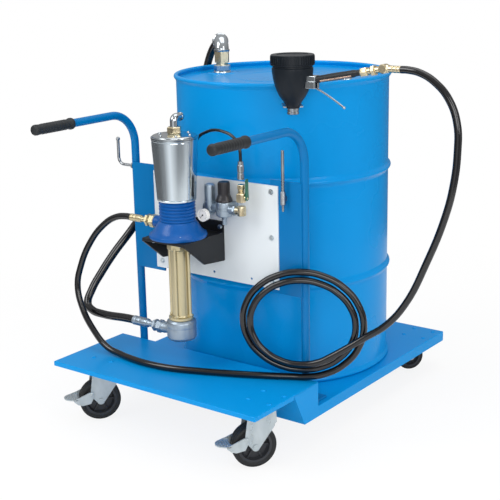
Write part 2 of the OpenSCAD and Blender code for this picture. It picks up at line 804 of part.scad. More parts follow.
module pump_casting() {
    rib = casting_r * 0.05;
    pitch = (casting_h - pump_flange_t - cone_h) / 5;
    ribs = [for (i = [0:4], k = [0:3]) let (z = pump_flange_t + cone_h + i * pitch)
        k == 0 ? [casting_r - rib, z] : k == 1 ? [casting_r, z + pitch * 0.15]
        : k == 2 ? [casting_r, z + pitch * 0.75] : [casting_r - rib, z + pitch * 0.9]];
    color("royalblue") difference() {
        union() {
            at_pump(shelf_z) rotate_extrude() polygon(concat(
                [[0, 0], [pump_flange_r - rib, 0], [pump_flange_r, rib], [pump_flange_r, pump_flange_t],
                 [pump_flange_r * 0.9, pump_flange_t + cone_h * 0.25], [casting_r * 1.15, pump_flange_t + cone_h * 0.75]],
                ribs, [[casting_r - rib, casting_h], [0, casting_h]]));
            toward_left(port_z, 0, casting_r + port_out) cylinder(r = port_r, h = casting_r + port_out);
        }
        at_pump(shelf_z - cut) cylinder(r = chamber_r, h = casting_h * 0.6);
        at_pump(shelf_z) cylinder(r = rod_r + run, h = casting_h + cut);
        toward_left(port_z, 0, casting_r + port_out + cut) cylinder(r = port_bore_r, h = casting_r + port_out + cut);
        for (a = [45:90:315]) at_pump(shelf_z - cut) rotate([0, 0, a]) translate([flange_bolt_ring, 0, 0]) {
            cylinder(r = panel_bolt_r, h = pump_flange_t + thick_cut);
            translate([0, 0, pump_flange_t + cut]) cylinder(r = panel_bolt_r * 2.2, h = casting_h);
        }
    }
}
cone_h = 32;

module motor_cylinder() {
    color("silver") at_pump(casting_top) difference() {
        rotate_extrude() polygon([
            [0, 0], [motor_foot_r - cut, 0], [motor_foot_r, cut * 3], [motor_top_r, motor_h], [0, motor_h]]);
        translate([0, 0, piston_t / 4]) cylinder(r = motor_bore_r, h = motor_h);
        translate([0, 0, -cut]) cylinder(r = rod_r + run, h = motor_h);
        translate([0, motor_foot_r / 2, air_port_up]) rotate([-90, 0, 0])
            cylinder(r = air_d / 2 - cut, h = motor_top_r);
    }
    color("silver") at_pump(casting_top + air_port_up) difference() {
        union() {
            translate([0, motor_top_r - air_d, 0]) rotate([-90, 0, 0])
                cylinder(r = air_d * 0.7, h = air_port_out + air_d);
            translate([0, motor_top_r + air_port_out, -air_d]) cylinder(r = air_d, h = 2 * air_d, $fn = 6);
        }
        cylinder(r = motor_top_r - air_d / 2, h = 2 * air_d, center = true);
        translate([0, motor_foot_r, 0]) rotate([-90, 0, 0])
            cylinder(r = air_d / 2 - cut, h = motor_top_r - motor_foot_r + air_port_out);
        translate([0, motor_top_r + air_port_out, 0]) cylinder(r = air_d / 2 - cut, h = 2 * air_d);
    }
}

module motor_cap() {
    r = motor_top_r;
    edge = cap_h * 0.4;
    color("silver") at_pump(motor_top) rotate_extrude() polygon(concat(
        [[0, 0], [r, 0], [r + cut, cut], [r + cut, cap_h * 0.35], [r, cap_h * 0.4]],
        [for (a = [0:18:90]) [r - edge * 2 * (1 - cos(a)), cap_h * 0.4 + (cap_h * 0.6) * sin(a) * 0.8]],
        [[r * 0.3, cap_h * 0.9], [r * 0.25, cap_h], [0, cap_h]]));
}

// Brass hex bush and chrome elbow on the cap, open towards the drum
exhaust_hex_h = 16;
exhaust_bend = 22;
exhaust_out = 26;
exhaust_r = 11;
module exhaust_elbow() {
    z = motor_top + cap_h;
    hex_h = exhaust_hex_h;
    bend = exhaust_bend;
    r = exhaust_r;
    color("goldenrod") at_pump(z) difference() {
        union() {
            cylinder(r = r * 1.7, h = hex_h, $fn = 6);
            translate([0, 0, hex_h]) cylinder(r = r, h = bend);
            translate([0, exhaust_out, hex_h + bend]) rotate([90, 0, 0]) cylinder(r = r, h = exhaust_out);
            translate([0, 0, hex_h + bend]) sphere(r = r);
        }
        translate([0, exhaust_out + cut, hex_h + bend]) rotate([90, 0, 0])
            cylinder(r = r * 0.65, h = exhaust_out + cut);
    }
}

module air_piston() {
    color("gray") at_pump(piston_z) difference() {
        cylinder(r = motor_bore_r - run, h = piston_t);
        translate([0, 0, -cut]) cylinder(r = rod_r, h = piston_t + thick_cut);
    }
}

module pump_rod() {
    low = barrel_z + plunger_l * 0.5;
    color("silver") at_pump(low) {
        cylinder(r = barrel_bore_r - run, h = plunger_l);
        translate([0, 0, plunger_l]) cylinder(r = rod_r, h = piston_z + piston_t - low - plunger_l);
    }
}

module pump_barrel() {
    ring = barrel_r * 0.2;
    color("tan") at_pump(barrel_z) difference() {
        union() {
            cylinder(r = barrel_r, h = barrel_l);
            translate([0, 0, barrel_l - shelf_t - seat - collar_h])
                cylinder(r = barrel_r + ring, h = collar_h, $fn = 8);
            cylinder(r = barrel_r + ring * 1.4, h = ring * 1.6);
            for (a = [45:90:315]) rotate([0, 0, a]) translate([barrel_r + ring * 0.2, 0, ring * 1.6])
                cylinder(r = ring, h = ring * 1.4, $fn = 6);
        }
        translate([0, 0, -cut]) cylinder(r = barrel_bore_r, h = barrel_l + thick_cut);
    }
}

module foot_valve() {
    edge = foot_r * 0.15;
    color("darkgray") difference() {
        union() {
            at_pump(foot_z) rotate_extrude() polygon([
                [0, 0], [foot_r - edge, 0], [foot_r, edge], [foot_r, foot_h - edge * 2],
                [foot_r - edge, foot_h], [0, foot_h]]);
            toward_left(inlet_z, 0, foot_r + port_out) cylinder(r = port_r, h = foot_r + port_out);
        }
        at_pump(ball_hole_z) cylinder(r = foot_bore_r, h = foot_h);
        at_pump(foot_z + edge) cylinder(r = ball_seat_r, h = foot_h);
        toward_left(inlet_z, 0, foot_r + port_out + cut) cylinder(r = port_bore_r, h = foot_r + port_out + cut);
    }
}

module foot_ball() {
    color("silver") at_pump(ball_z) sphere(r = ball_r);
}

// A fitting toward -X: a hex, a round tail and a crimped ferrule for a hose
module hose_fitting(z, from, hose_r, hexes) {
    toward_left(z, from, hexes[0]) cylinder(r = port_r * 1.2, h = hexes[0], $fn = 6);
    toward_left(z, from + hexes[0], hexes[1]) cylinder(r = hose_r * 0.75, h = hexes[1]);
    toward_left(z, from + hexes[0] + hexes[1], hexes[2]) cylinder(r = hose_r * 1.1, h = hexes[2]);
    toward_left(z, from + hexes[0] * 1.1, hexes[0] * 0.5) cylinder(r = port_r, h = hexes[0] * 0.5, $fn = 6);
}

inlet_lengths = [28, 22, 51];
outlet_lengths = [30, 18, 38];
inlet_end = foot_r + port_out + inlet_lengths[0] + inlet_lengths[1] + inlet_lengths[2];
outlet_end = casting_r + port_out + outlet_lengths[0] + outlet_lengths[1] + outlet_lengths[2];

module inlet_fitting() {
    color("burlywood") difference() {
        hose_fitting(inlet_z, foot_r + port_out, suction_d / 2, inlet_lengths);
        toward_left(inlet_z, foot_r, inlet_end) cylinder(r = port_bore_r * 0.7, h = inlet_end);
    }
}

module outlet_fitting() {
    color("burlywood") difference() {
        hose_fitting(port_z, casting_r + port_out, delivery_d / 2, outlet_lengths);
        toward_left(port_z, casting_r, outlet_end) cylinder(r = port_bore_r * 0.6, h = outlet_end);
    }
}

// Air unit on the panel: regulator with filter dome, gauge, valve and coupling
reg_x = drum_x + air_right;
air_y = panel_y - air_out;
reg_h = 38;
pad_hole_gap = 12;
pad_hole_l = 10;
filter_left = 45;
filter_x = reg_x - filter_left;
filter_r = 15;
dome_h = 45;
valve_right = 54;
valve_x = reg_x + valve_right;
valve_r = 11;
lever_up = 34;
lever_z = air_z + lever_up;
gauge_left = 36;
gauge_drop = 13;
gauge_out = 30;
gauge_depth = 14;
gauge_x = reg_x - gauge_left;
gauge_y = air_y - gauge_out;
gauge_z = air_z - gauge_drop;
plug_up = 80;
plug_h = 37;
coupling_up = 125;
coupling_top = air_z + coupling_up;

module at_air(x, z) { translate([x, air_y, z]) children(); }

module regulator() {
    color("silver") difference() {
        union() {
            at_air(reg_x, air_z - reg_h / 2) cylinder(r = reg_r, h = reg_h);
            at_air(filter_x - filter_r, air_z) rotate([0, 90, 0])
                cylinder(r = reg_r * 0.55, h = valve_x - filter_x);
            at_air(filter_x, air_z - filter_r) cylinder(r = filter_r, h = filter_r * 2);
            at_air(filter_x, air_z + filter_r) cylinder(r = filter_r * 0.9, h = dome_h);
            translate([reg_x - reg_r, air_y, air_z - filter_r])
                cube([2 * reg_r, air_out, 2 * filter_r]);
            at_air(reg_x, air_z - reg_h / 2 - inlet_stub) cylinder(r = inlet_stub_r, h = inlet_stub + cut);
            translate([gauge_x, gauge_y, gauge_z]) rotate([-90, 0, 0])
                cylinder(r = filter_r * 0.4, h = air_y - gauge_y);
        }
        at_air(reg_x, air_z - reg_h / 2 - inlet_stub - cut)
            cylinder(r = inlet_stub_r * 0.5, h = inlet_stub + reg_h / 2);
        at_air(reg_x, air_z + reg_h / 2 - spindle_h) cylinder(r = spindle_r + run, h = spindle_h + cut);
        for (side = [-1, 1]) translate([reg_x + side * pad_hole_gap, panel_y - pad_hole_l, air_z])
            rotate([-90, 0, 0]) cylinder(r = panel_bolt_r, h = pad_hole_l + cut);
    }
}
inlet_stub = 22;
inlet_stub_r = 6;
spindle_r = 5;
spindle_h = 12;

module regulator_knob() {
    z = air_z + reg_h / 2;
    color("black") difference() {
        at_air(reg_x, z + seat) rotate_extrude() polygon([
            [0, 0], [knob_r * 1.45, 0], [knob_r * 1.4, knob_h * 0.12], [knob_r, knob_h * 0.3],
            [knob_r, knob_h - cut * 2], [knob_r - cut * 2, knob_h], [0, knob_h]]);
        for (a = [0:30:330]) at_air(reg_x, z + knob_h * 0.36) rotate([0, 0, a])
            translate([knob_r + cut * 0.6, 0, 0]) cylinder(r = cut * 1.4, h = knob_h);
    }
    color("black") at_air(reg_x, z - spindle_h + seat) cylinder(r = spindle_r, h = spindle_h);
}

module gauge() {
    color("white") translate([gauge_x, gauge_y - gauge_depth, gauge_z]) rotate([-90, 0, 0]) difference() {
        cylinder(r = gauge_r, h = gauge_depth);
        translate([0, 0, -cut]) cylinder(r = gauge_r - cut * 2, h = cut * 3);
        translate([0, 0, -cut]) cylinder(r = needle_pin_r + run, h = cut * 6);
    }
}
needle_pin_r = 1.2;

module gauge_needle() {
    color("black") translate([gauge_x, gauge_y - gauge_depth + cut, gauge_z]) rotate([-90, 0, 0]) {
        cylinder(r = needle_pin_r, h = cut * 3);
        cylinder(r = needle_pin_r * 2, h = cut - seat);
        rotate([0, 0, 45]) translate([-needle_pin_r / 2, 0, 0])
            cube([needle_pin_r, gauge_r * 0.75, cut - seat]);
    }
}

// Ball valve, brass bush, coupling plug and hose socket, stacked upward beside the regulator
module air_valve() {
    r = valve_r;
    low = air_z - reg_r * 0.55;
    color("goldenrod") difference() {
        union() {
            at_air(valve_x - filter_r, air_z) rotate([0, 90, 0])
                cylinder(r = reg_r * 0.5, h = filter_r);
            at_air(valve_x, low) cylinder(r = r, h = lever_z + r - low);
            at_air(valve_x, lever_z - r) cylinder(r = r * 1.25, h = 2 * r, $fn = 6);
            at_air(valve_x, lever_z + r) cylinder(r = r * 0.7, h = coupling_top - lever_z - r);
            at_air(valve_x, lever_z + 2 * r) cylinder(r = r * 0.95, h = r, $fn = 6);
            at_air(valve_x, air_z + plug_up) cylinder(r = r * 0.8, h = plug_h);
            at_air(valve_x + r, lever_z) rotate([0, 90, 0]) cylinder(r = stem_r * 2, h = r * 0.4);
            at_air(valve_x + r, lever_z) rotate([0, 90, 0]) cylinder(r = stem_r, h = r * 0.4 + lever_t + seat * 2);
        }
        at_air(valve_x, lever_z) cylinder(r = air_d / 2 - cut, h = coupling_top);
    }
}
stem_r = 3;
lever_t = 3;
lever_l = 44;

module valve_lever() {
    x = valve_x + valve_r * 1.4 + seat;
    color("darkgreen") difference() {
        hull() {
            at_air(x, lever_z) rotate([0, 90, 0]) cylinder(r = stem_r * 2, h = lever_t);
            at_air(x, lever_z + lever_l) rotate([0, 90, 0]) cylinder(r = stem_r * 1.6, h = lever_t);
        }
        at_air(x - cut, lever_z) rotate([0, 90, 0]) cylinder(r = stem_r + run, h = lever_t + thick_cut);
    }
}

// Gun: a bell with a ribbed cap and chrome tip, a body, a grip, a lever and a swivel
bell_top = rim_z + bell_up;
cap_z = bell_top - bell_cap_h;
neck_z = cap_z - bell_h;
gun_end_z = rim_z + gun_end_up;
body_up = 20;
body_z = rim_z + body_up;
body_right = 43;
body_x = gun_x + body_right;
body_l = 28;
grip_start = body_x + body_l;
swivel_right = 190;
swivel_x = gun_x + swivel_right;
swivel_r = 11;
ferrule_l = 43;
ferrule_x = gun_x + gun_len - ferrule_l;
gun_rise = atan2(gun_end_z - body_z, ferrule_x - grip_start);
grip_r = 9;
bell_shares = [[0.44, 0.15], [0.62, 0.27], [0.76, 0.41], [0.92, 0.67], [1, 0.94]];
function bell_points(grow) = concat([[0, 0], [neck_r + grow, 0], [neck_r + grow, bell_h * 0.05]],
    [for (p = bell_shares) [p[0] * bell_r + grow, p[1] * bell_h]], [[bell_r + grow, bell_h], [0, bell_h]]);

module at_gun(z) { translate([gun_x, gun_y, z]) children(); }

module gun_bell() {
    ribs = 36;
    color("black") difference() {
        union() {
            at_gun(neck_z) rotate_extrude() polygon(bell_points(0));
            at_gun(cap_z) cylinder(r = bell_cap_r, h = bell_cap_h);
        }
        at_gun(neck_z - cut) cylinder(r = tip_bore_r * 0.7, h = bell_h);
        for (i = [0:ribs - 1]) at_gun(cap_z + bell_cap_h * 0.15) rotate([0, 0, i * 360 / ribs])
            translate([bell_cap_r + cut, 0, 0]) cylinder(r = cut * 2, h = bell_cap_h * 0.7);
    }
}

// The hook that carries the gun: a folded strip over the drum's rim, a pad behind
// the bell's cap and a forked shelf under the bell's shoulder
hook_w = 26;
hook_t = 3;
hook_down = 44;
fork_arm = 8;
fork_reach = neck_r + fork_arm;
module rim_hook() {
    inner = drum_r - drum_wall - seat - hook_t;
    outer = rim_r + seat;
    shoulder = neck_z + bell_h * 0.05;
    color("dimgray") at_drum(0) rotate([0, 0, atan2(-bell_dy, bell_dx)]) {
        translate([outer, -hook_w / 2, shoulder - hook_t - seat])
            cube([hook_t, hook_w, bell_top - bell_cap_h * 0.3 - shoulder + hook_t + seat]);
        translate([inner, -hook_w / 2, rim_z + seat]) cube([outer - inner + hook_t, hook_w, hook_t]);
        translate([inner, -hook_w / 2, rim_z - head_drop + hook_t])
            cube([hook_t, hook_w, head_drop - hook_t + seat + hook_t]);
        difference() {
            translate([outer, -hook_w / 2, cap_z + bell_cap_h * 0.2])
                cube([bell_out - outer, hook_w, bell_cap_h * 0.5]);
            translate([bell_out, 0, cap_z]) cylinder(r = bell_cap_r + seat, h = bell_cap_h);
        }
        difference() {
            translate([outer, -fork_reach, shoulder - hook_t - seat])
                cube([bell_out - outer + neck_r * 0.4, 2 * fork_reach, hook_t]);
            translate([bell_out, 0, shoulder - hook_t - seat - cut])
                cylinder(r = neck_r + seat, h = hook_t + thick_cut);
            translate([bell_out, -neck_r - seat, shoulder - hook_t - seat - cut])
                cube([neck_r, 2 * (neck_r + seat), hook_t + thick_cut]);
        }
    }
}

// Chrome tip, body block and handle of the gun
block_w = 24;
block_h = 32;
module gun_body() {
    w = block_w;
    h = block_h;
    low = body_z - h * 0.7;
    color("silver") {
        difference() {
            at_gun(neck_z - tip_h) cylinder(r = neck_r * 0.95, h = tip_h);
            at_gun(neck_z - tip_h - cut) cylinder(r = tip_bore_r, h = tip_h + thick_cut);
        }
        difference() {
            union() {
                translate([gun_x + bell_r * 0.7, gun_y - w / 2, low]) cube([grip_start - gun_x - bell_r * 0.7, w, h]);
                translate([grip_start, gun_y, body_z]) rotate([0, 90 - gun_rise, 0])
                    cylinder(r = grip_r, h = (swivel_x - grip_start) / cos(gun_rise));
            }
            at_gun(neck_z) rotate_extrude() polygon(bell_points(seat));
            trigger_pin(trigger_pin_r + run, w + thick_cut);
            translate([body_x - cut, gun_y - trigger_gap / 2, low - cut])
                cube([body_l + thick_cut, trigger_gap, h * 0.45]);
        }
    }
}
trigger_pin_r = 2.5;
trigger_gap = 8;
trigger_drop = 16;
module trigger_pin(r, w) {
    translate([body_x + body_l * 0.4, gun_y, body_z - trigger_drop]) rotate([90, 0, 0])
        cylinder(r = r, h = w, center = true);
}

// The lever: a boss on its pin, a wire arm reaching under the handle and a ball end
lever_reach = [90, -46];
lever_r = 2.2;
module gun_trigger() {
    fall = atan2(-lever_reach[1], lever_reach[0]);
    color("silver") {
        trigger_pin(trigger_pin_r, block_w);
        trigger_pin(trigger_pin_r * 2, trigger_gap - 4 * seat);
        translate([body_x + body_l * 0.4, gun_y, body_z - trigger_drop]) rotate([0, 90 + fall, 0])
            translate([0, 0, trigger_pin_r]) cylinder(r = lever_r, h = norm(lever_reach) - trigger_pin_r);
        translate([body_x + body_l * 0.4 + lever_reach[0], gun_y, body_z - trigger_drop + lever_reach[1]])
            sphere(r = lever_r * 1.6);
    }
}

module gun_swivel() {
    r = swivel_r;
    run_x = ferrule_x - swivel_x;
    start_z = body_z + (swivel_x - grip_start) * tan(gun_rise);
    color("gold") {
        translate([swivel_x, gun_y, start_z]) rotate([0, 90 - gun_rise, 0]) {
            cylinder(r = r, h = r * 1.6, $fn = 6);
            translate([0, 0, r * 1.6]) cylinder(r = r * 0.8, h = run_x / cos(gun_rise) - r * 1.6);
            translate([0, 0, r * 2.6]) cylinder(r = r * 1.15, h = r, $fn = 6);
        }
        translate([ferrule_x, gun_y, gun_end_z]) rotate([0, 90, 0])
            cylinder(r = delivery_d / 2 * 0.85, h = ferrule_l);
        translate([ferrule_x, gun_y, gun_end_z]) rotate([90, 0, 0])
            cylinder(r = r, h = r * 1.9, center = true);
    }
}

// Hoses. Routes are chosen by hand; a spline through the points makes each centre line.
delivery_r = delivery_d / 2;
suction_r = suction_d / 2;
hose_z = deck_top + delivery_r + seat * 2;
coil_angle = 25;
coil_clear = delivery_r + tube_r + strap_t + seat * 2;
coil_slide = -8;
coil_x = right_column_x + coil_clear * sin(coil_angle) + coil_slide * cos(coil_angle);
coil_y = column_y - coil_clear * cos(coil_angle) + coil_slide * sin(coil_angle);
coil_z = hose_z + coil_b;
coil_side = 19;

// A point of the coil's centre line after t turns: the turns narrow, and the last
// one moves to the front so that the hose leaves past the outer turn
function coil_point(t) = let (
    u = -90 + 360 * t,
    s = (coil_a - coil_step * t) * cos(u),
    h = (coil_b - coil_step * t) * sin(u),
    n = coil_side * pow(max(0, t - 1), 2))
    [coil_x + s * cos(coil_angle) + n * sin(coil_angle),
     coil_y + s * sin(coil_angle) - n * cos(coil_angle),
     coil_z + h];

coil_start = coil_point(0);
coil_end = coil_point(coil_turns);
coil_out = unit(coil_end - coil_point(coil_turns - 0.01));

delivery_route = [
    [-330, -271, 541], [-372, -275, 515], [-418, -282, 462], [-450, -290, 395],
    [-460, -297, 340], [-441, -303, 282], [-400, -307, 228], [-350, -310, 190],
    [-300, -312, 180], [-245, -320, 179], [-190, -323, 179], [-124, -315, 179],
    [-47, -289, 179], [50, -249, 179], [117, -217, 179]];
gun_route = [
    [345, -136, 299], [400, -129, 340], [452, -128, 404], [502, -128, 506], [548, -128, 625],
    [566, -128, 700], [573, -128, 770], [570, -128, 835], [549, -128, 886],
    [516, -128, 920], [480, -128, 939]];
suction_route = [
    [-349, 199, 954], [-371, 208, 936], [-388, 207, 900], [-397, 200, 850], [-401, 175, 770],
    [-402, 125, 690], [-401, 60, 610], [-401, -20, 548], [-403, -90, 500],
    [-412, -140, 455], [-432, -178, 408], [-452, -210, 358], [-466, -238, 312],
    [-463, -260, 279], [-438, -269, 266], [-400, -270, 262]];

function unit(v) = v / norm(v);

// Centre line through hand-chosen points, with straight ends one diameter long
function route(first, out, points, last, back, d) =
    concat([first, first + out * d], smooth(concat([first + out * d], points, [last + back * d])),
        [last + back * d, last]);
function smooth(p) = [for (i = [1:len(p) - 2], k = [0, 1]) let (
    a = p[i - 1], b = p[i], c = p[i + 1],
    e = p[min(i + 2, len(p) - 1)])
    k == 0 ? b : (9 * (b + c) - a - e) / 16];

// Rings of a tube: each ring's frame is carried along from the last without twist
function carry(x, t) = unit(x - t * (x * t));
function tangents(p) = [for (i = [0:len(p) - 1])
    unit(p[min(i + 1, len(p) - 1)] - p[max(i - 1, 0)])];
function frames(t, x, i) = i == len(t) ? [] : let (n = carry(x, t[i])) concat([n], frames(t, n, i + 1));

module swept(p, r, sides) {
    t = tangents(p);
    x = frames(t, carry([0.1, 0.2, 1], t[0]), 0);
    points = [for (i = [0:len(p) - 1], k = [0:sides - 1]) let (a = 360 * k / sides)
        p[i] + r * (cos(a) * x[i] + sin(a) * cross(t[i], x[i]))];
    walls = [for (i = [0:len(p) - 2], k = [0:sides - 1], half = [0, 1]) let (
        a = i * sides + k, b = i * sides + (k + 1) % sides)
        half == 0 ? [a, a + sides, b] : [b, a + sides, b + sides]];
    first_cap = [for (k = [1:sides - 2]) [0, k, k + 1]];
    m = (len(p) - 1) * sides;
    last_cap = [for (k = [1:sides - 2]) [m, m + k + 1, m + k]];
    polyhedron(points, concat(walls, first_cap, last_cap));
}

suction_out = [-cos(elbow_turn), sin(elbow_turn), 0];
suction_start = [drum_x - bung_ring, drum_y, elbow_z] + elbow_reach * suction_out;
suction_end = [pump_x - inlet_end, pump_y, inlet_z];
delivery_start = [pump_x - outlet_end, pump_y, port_z];
gun_end = [gun_x + gun_len, gun_y, gun_end_z];
coil_in = [cos(coil_angle), sin(coil_angle), 0];

module suction_hose() {
    color("black") swept(route(suction_start, suction_out, suction_route, suction_end, [-1, 0, 0], suction_d),
        suction_r, 10);
}
module delivery_hose() {
    color("black") swept(route(delivery_start, [-1, 0, 0], delivery_route, coil_start, -coil_in, delivery_d),
        delivery_r, 10);
}
module gun_hose() {
    color("black") swept(route(coil_end, coil_out, gun_route, gun_end, [1, 0, 0], delivery_d), delivery_r, 10);
}

coil_rings = 24;
coil_points = [for (i = [0:floor(coil_turns * coil_rings)]) coil_point(i / coil_rings)];
coil_line = concat(coil_points, [coil_end]);
coil_gap = min([for (i = [0:len(coil_line) - 1], j = [i + 12:1:len(coil_line) - 1])
    norm(coil_line[i] - coil_line[j])]) - delivery_d;
echo(coil_gap = coil_gap);
module hose_coil() { color("black") swept(coil_line, delivery_r, 6); }

air_start = [pump_x, pump_y + motor_top_r + air_port_out, casting_top + air_port_up + air_d];
air_end = [valve_x, air_y, coupling_top];
// The air hose rises from the motor, crosses over in an arch and drops to the coupling:
// each row is a share of the way across, then a share of the arch's height
air_arch = 64;
air_arch_shares = [[0.013, 0.344], [0.093, 0.625], [0.238, 0.813], [0.437, 0.953], [0.636, 0.938], [0.848, 0.781], [0.967, 0.484]];
air_route = [for (p = air_arch_shares) [
    air_start[0] + p[0] * (air_end[0] - air_start[0]),
    air_start[1] + p[0] * (air_end[1] - air_start[1]),
    (air_start[2] + air_end[2]) / 2 + p[1] * air_arch]];
up = [0, 0, 1];
module air_hose() { color("black") swept(route(air_start, up, air_route, air_end, up, air_d), air_d / 2, 8); }

front_deck();
cross_beam();
low_floor();
caster_plates();
caster_bolts();
front_left_fork();
front_left_wheel();
front_left_tyre();
front_left_pedal();
front_right_fork();
front_right_wheel();
front_right_tyre();
front_right_pedal();
rear_left_fork();
rear_left_wheel();
rear_left_tyre();
rear_right_fork();
rear_right_wheel();
rear_right_tyre();
drum_shell();
drum_head();
small_bung();
bung_nut();
suction_pipe();
drum_elbow();
left_column();
right_column();
grips();
hose_hook();
panel();
panel_bolts();
pump_bracket();
spare_spout();
pump_casting();
motor_cylinder();
motor_cap();
exhaust_elbow();
air_piston();
pump_rod();
pump_barrel();
foot_valve();
foot_ball();
inlet_fitting();
outlet_fitting();
regulator();
regulator_knob();
gauge();
gauge_needle();
air_valve();
valve_lever();
air_hose();
rim_hook();
gun_bell();
gun_body();
gun_trigger();
gun_swivel();
suction_hose();
delivery_hose();
hose_coil();
gun_hose();
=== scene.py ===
import json
import math

import bmesh
import bpy
from mathutils import Matrix, Vector


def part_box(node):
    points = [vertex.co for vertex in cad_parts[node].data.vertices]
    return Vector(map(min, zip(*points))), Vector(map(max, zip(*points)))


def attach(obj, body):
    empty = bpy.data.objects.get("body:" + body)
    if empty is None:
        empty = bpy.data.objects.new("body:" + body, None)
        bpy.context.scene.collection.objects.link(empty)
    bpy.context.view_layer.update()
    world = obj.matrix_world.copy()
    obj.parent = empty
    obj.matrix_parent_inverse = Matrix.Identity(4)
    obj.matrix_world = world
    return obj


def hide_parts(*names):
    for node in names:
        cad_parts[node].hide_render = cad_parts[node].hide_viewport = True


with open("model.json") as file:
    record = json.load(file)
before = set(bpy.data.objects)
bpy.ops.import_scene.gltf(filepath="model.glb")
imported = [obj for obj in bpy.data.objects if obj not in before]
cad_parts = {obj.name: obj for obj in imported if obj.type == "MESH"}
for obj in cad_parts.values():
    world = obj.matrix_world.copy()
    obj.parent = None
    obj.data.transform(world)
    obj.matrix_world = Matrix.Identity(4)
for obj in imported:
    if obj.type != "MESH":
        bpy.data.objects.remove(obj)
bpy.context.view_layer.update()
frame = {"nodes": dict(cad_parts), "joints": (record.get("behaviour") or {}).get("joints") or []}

# The studio: a pale round floor, a white surround and four large soft lamps. The camera
# stands where the photographer stood, to the right of the handles and a little above.
mm = 0.001
white = (1, 1, 1, 1)
scene = bpy.context.scene
scene.view_settings.view_transform = "Standard"

camera_data = bpy.data.cameras.new("camera")
camera_data.sensor_width = 36.0
camera_data.lens = 80.65
camera_data.clip_end = 50.0
camera = bpy.data.objects.new("camera", camera_data)
scene.collection.objects.link(camera)
scene.camera = camera
camera_place = Vector((1.6605, -2.3387, 1.2155))
camera_aim = Vector((-0.5799, 0.7717, -0.2613))
camera_roll = math.radians(-1.2)
camera.matrix_world = (Matrix.Translation(camera_place) @ camera_aim.to_track_quat("-Z", "Y").to_matrix().to_4x4()
                       @ Matrix.Rotation(camera_roll, 4, "Z"))


def add(tree, kind, values=None, **modes):
    """Adds a shader node with its modes and the values of its inputs."""
    made = tree.nodes.new("ShaderNode" + kind)
    for mode, choice in modes.items():
        setattr(made, mode, choice)
    for key, value in (values or {}).items():
        made.inputs[key].default_value = value
    return made


def wire(tree, *links):
    """Joins nodes; each link is a node, its output, another node and its input."""
    for giver, out, taker, into in links:
        tree.links.new(giver.outputs[out], taker.inputs[into])


def ring(radius, steps, first=0):
    """Points round a circle, the first of them that share of a step along."""
    turns = [math.tau * (i + first) / steps for i in range(steps)]
    return [(radius * math.cos(t), radius * math.sin(t)) for t in turns]


world = bpy.data.worlds.new("studio")
scene.world = world
world.use_nodes = True
tree = world.node_tree
tree.nodes.clear()
world_out = add(tree, "OutputWorld")
seen = add(tree, "Background", {"Color": white})
lit = add(tree, "Background", {"Strength": 0.62})
sky = add(tree, "TexCoord")
split = add(tree, "SeparateXYZ")
bands = add(tree, "ValToRGB")
bands.color_ramp.elements[0].color = (0.42, 0.43, 0.45, 1)
bands.color_ramp.elements[1].color = white
height = add(tree, "MapRange", {"From Min": -0.3, "From Max": 0.7})
around = add(tree, "Math", operation="ARCTAN2")
compass = add(tree, "MapRange", {"From Min": -math.pi, "From Max": math.pi})
room = add(tree, "ValToRGB")
# Brightness of the room below eye height, by compass direction in degrees from +X
room_tones = [(-180, 0.13), (-150, 0.12), (-112, 0.28), (-78, 0.92), (-60, 0.60), (-36, 0.26), (-12, 0.30),
              (14, 0.62), (42, 0.36), (70, 0.12), (180, 0.13)]
while len(room.color_ramp.elements) < len(room_tones):
    room.color_ramp.elements.new(0.5)
for stop, (degrees, tone) in zip(room.color_ramp.elements, room_tones):
    stop.position = (degrees + 180) / 360
    stop.color = (tone, tone * 1.01, tone * 1.03, 1)
brighter = add(tree, "VectorMath", {"Scale": 1.9}, operation="SCALE")
under_eye = add(tree, "MapRange", {"From Min": -0.02, "From Max": 0.12})
both = add(tree, "Mix", data_type="RGBA")
path = add(tree, "LightPath")
choose = add(tree, "MixShader")
wire(tree, (sky, "Generated", split, 0), (split, "Z", height, "Value"), (split, "Z", under_eye, "Value"),
     (split, "Y", around, 0), (split, "X", around, 1), (around, 0, compass, "Value"), (compass, 0, room, 0),
     (room, 0, brighter, 0), (height, 0, bands, 0), (under_eye, 0, both, "Factor"), (brighter, 0, both, "A"),
     (bands, 0, both, "B"), (both, "Result", lit, "Color"), (path, "Is Camera Ray", choose, 0),
     (lit, 0, choose, 1), (seen, 0, choose, 2), (choose, 0, world_out, 0))

# Each lamp: name, place, what it points at, width, height, power
lamps = [
    ("key", (-1.6, -2.6, 2.9), (0, 0, 0.5), 1.6, 2.2, 57),
    ("side", (3.2, -0.9, 1.8), (0.1, 0, 0.5), 0.9, 2.4, 34),
    ("top", (0.2, 0.3, 3.6), (0, 0, 0.5), 2.6, 2.6, 34),
    ("front", (2.3, -3.4, 1.5), (0, 0, 0.45), 2.4, 1.6, 50),
]
for name, place, target, wide, tall, power in lamps:
    lamp = bpy.data.lights.new(name, "AREA")
    lamp.shape = "RECTANGLE"
    lamp.size = wide
    lamp.size_y = tall
    lamp.energy = power
    holder = bpy.data.objects.new(name, lamp)
    scene.collection.objects.link(holder)
    holder.location = place
    holder.rotation_euler = (Vector(target) - Vector(place)).to_track_quat("-Z", "Y").to_euler()

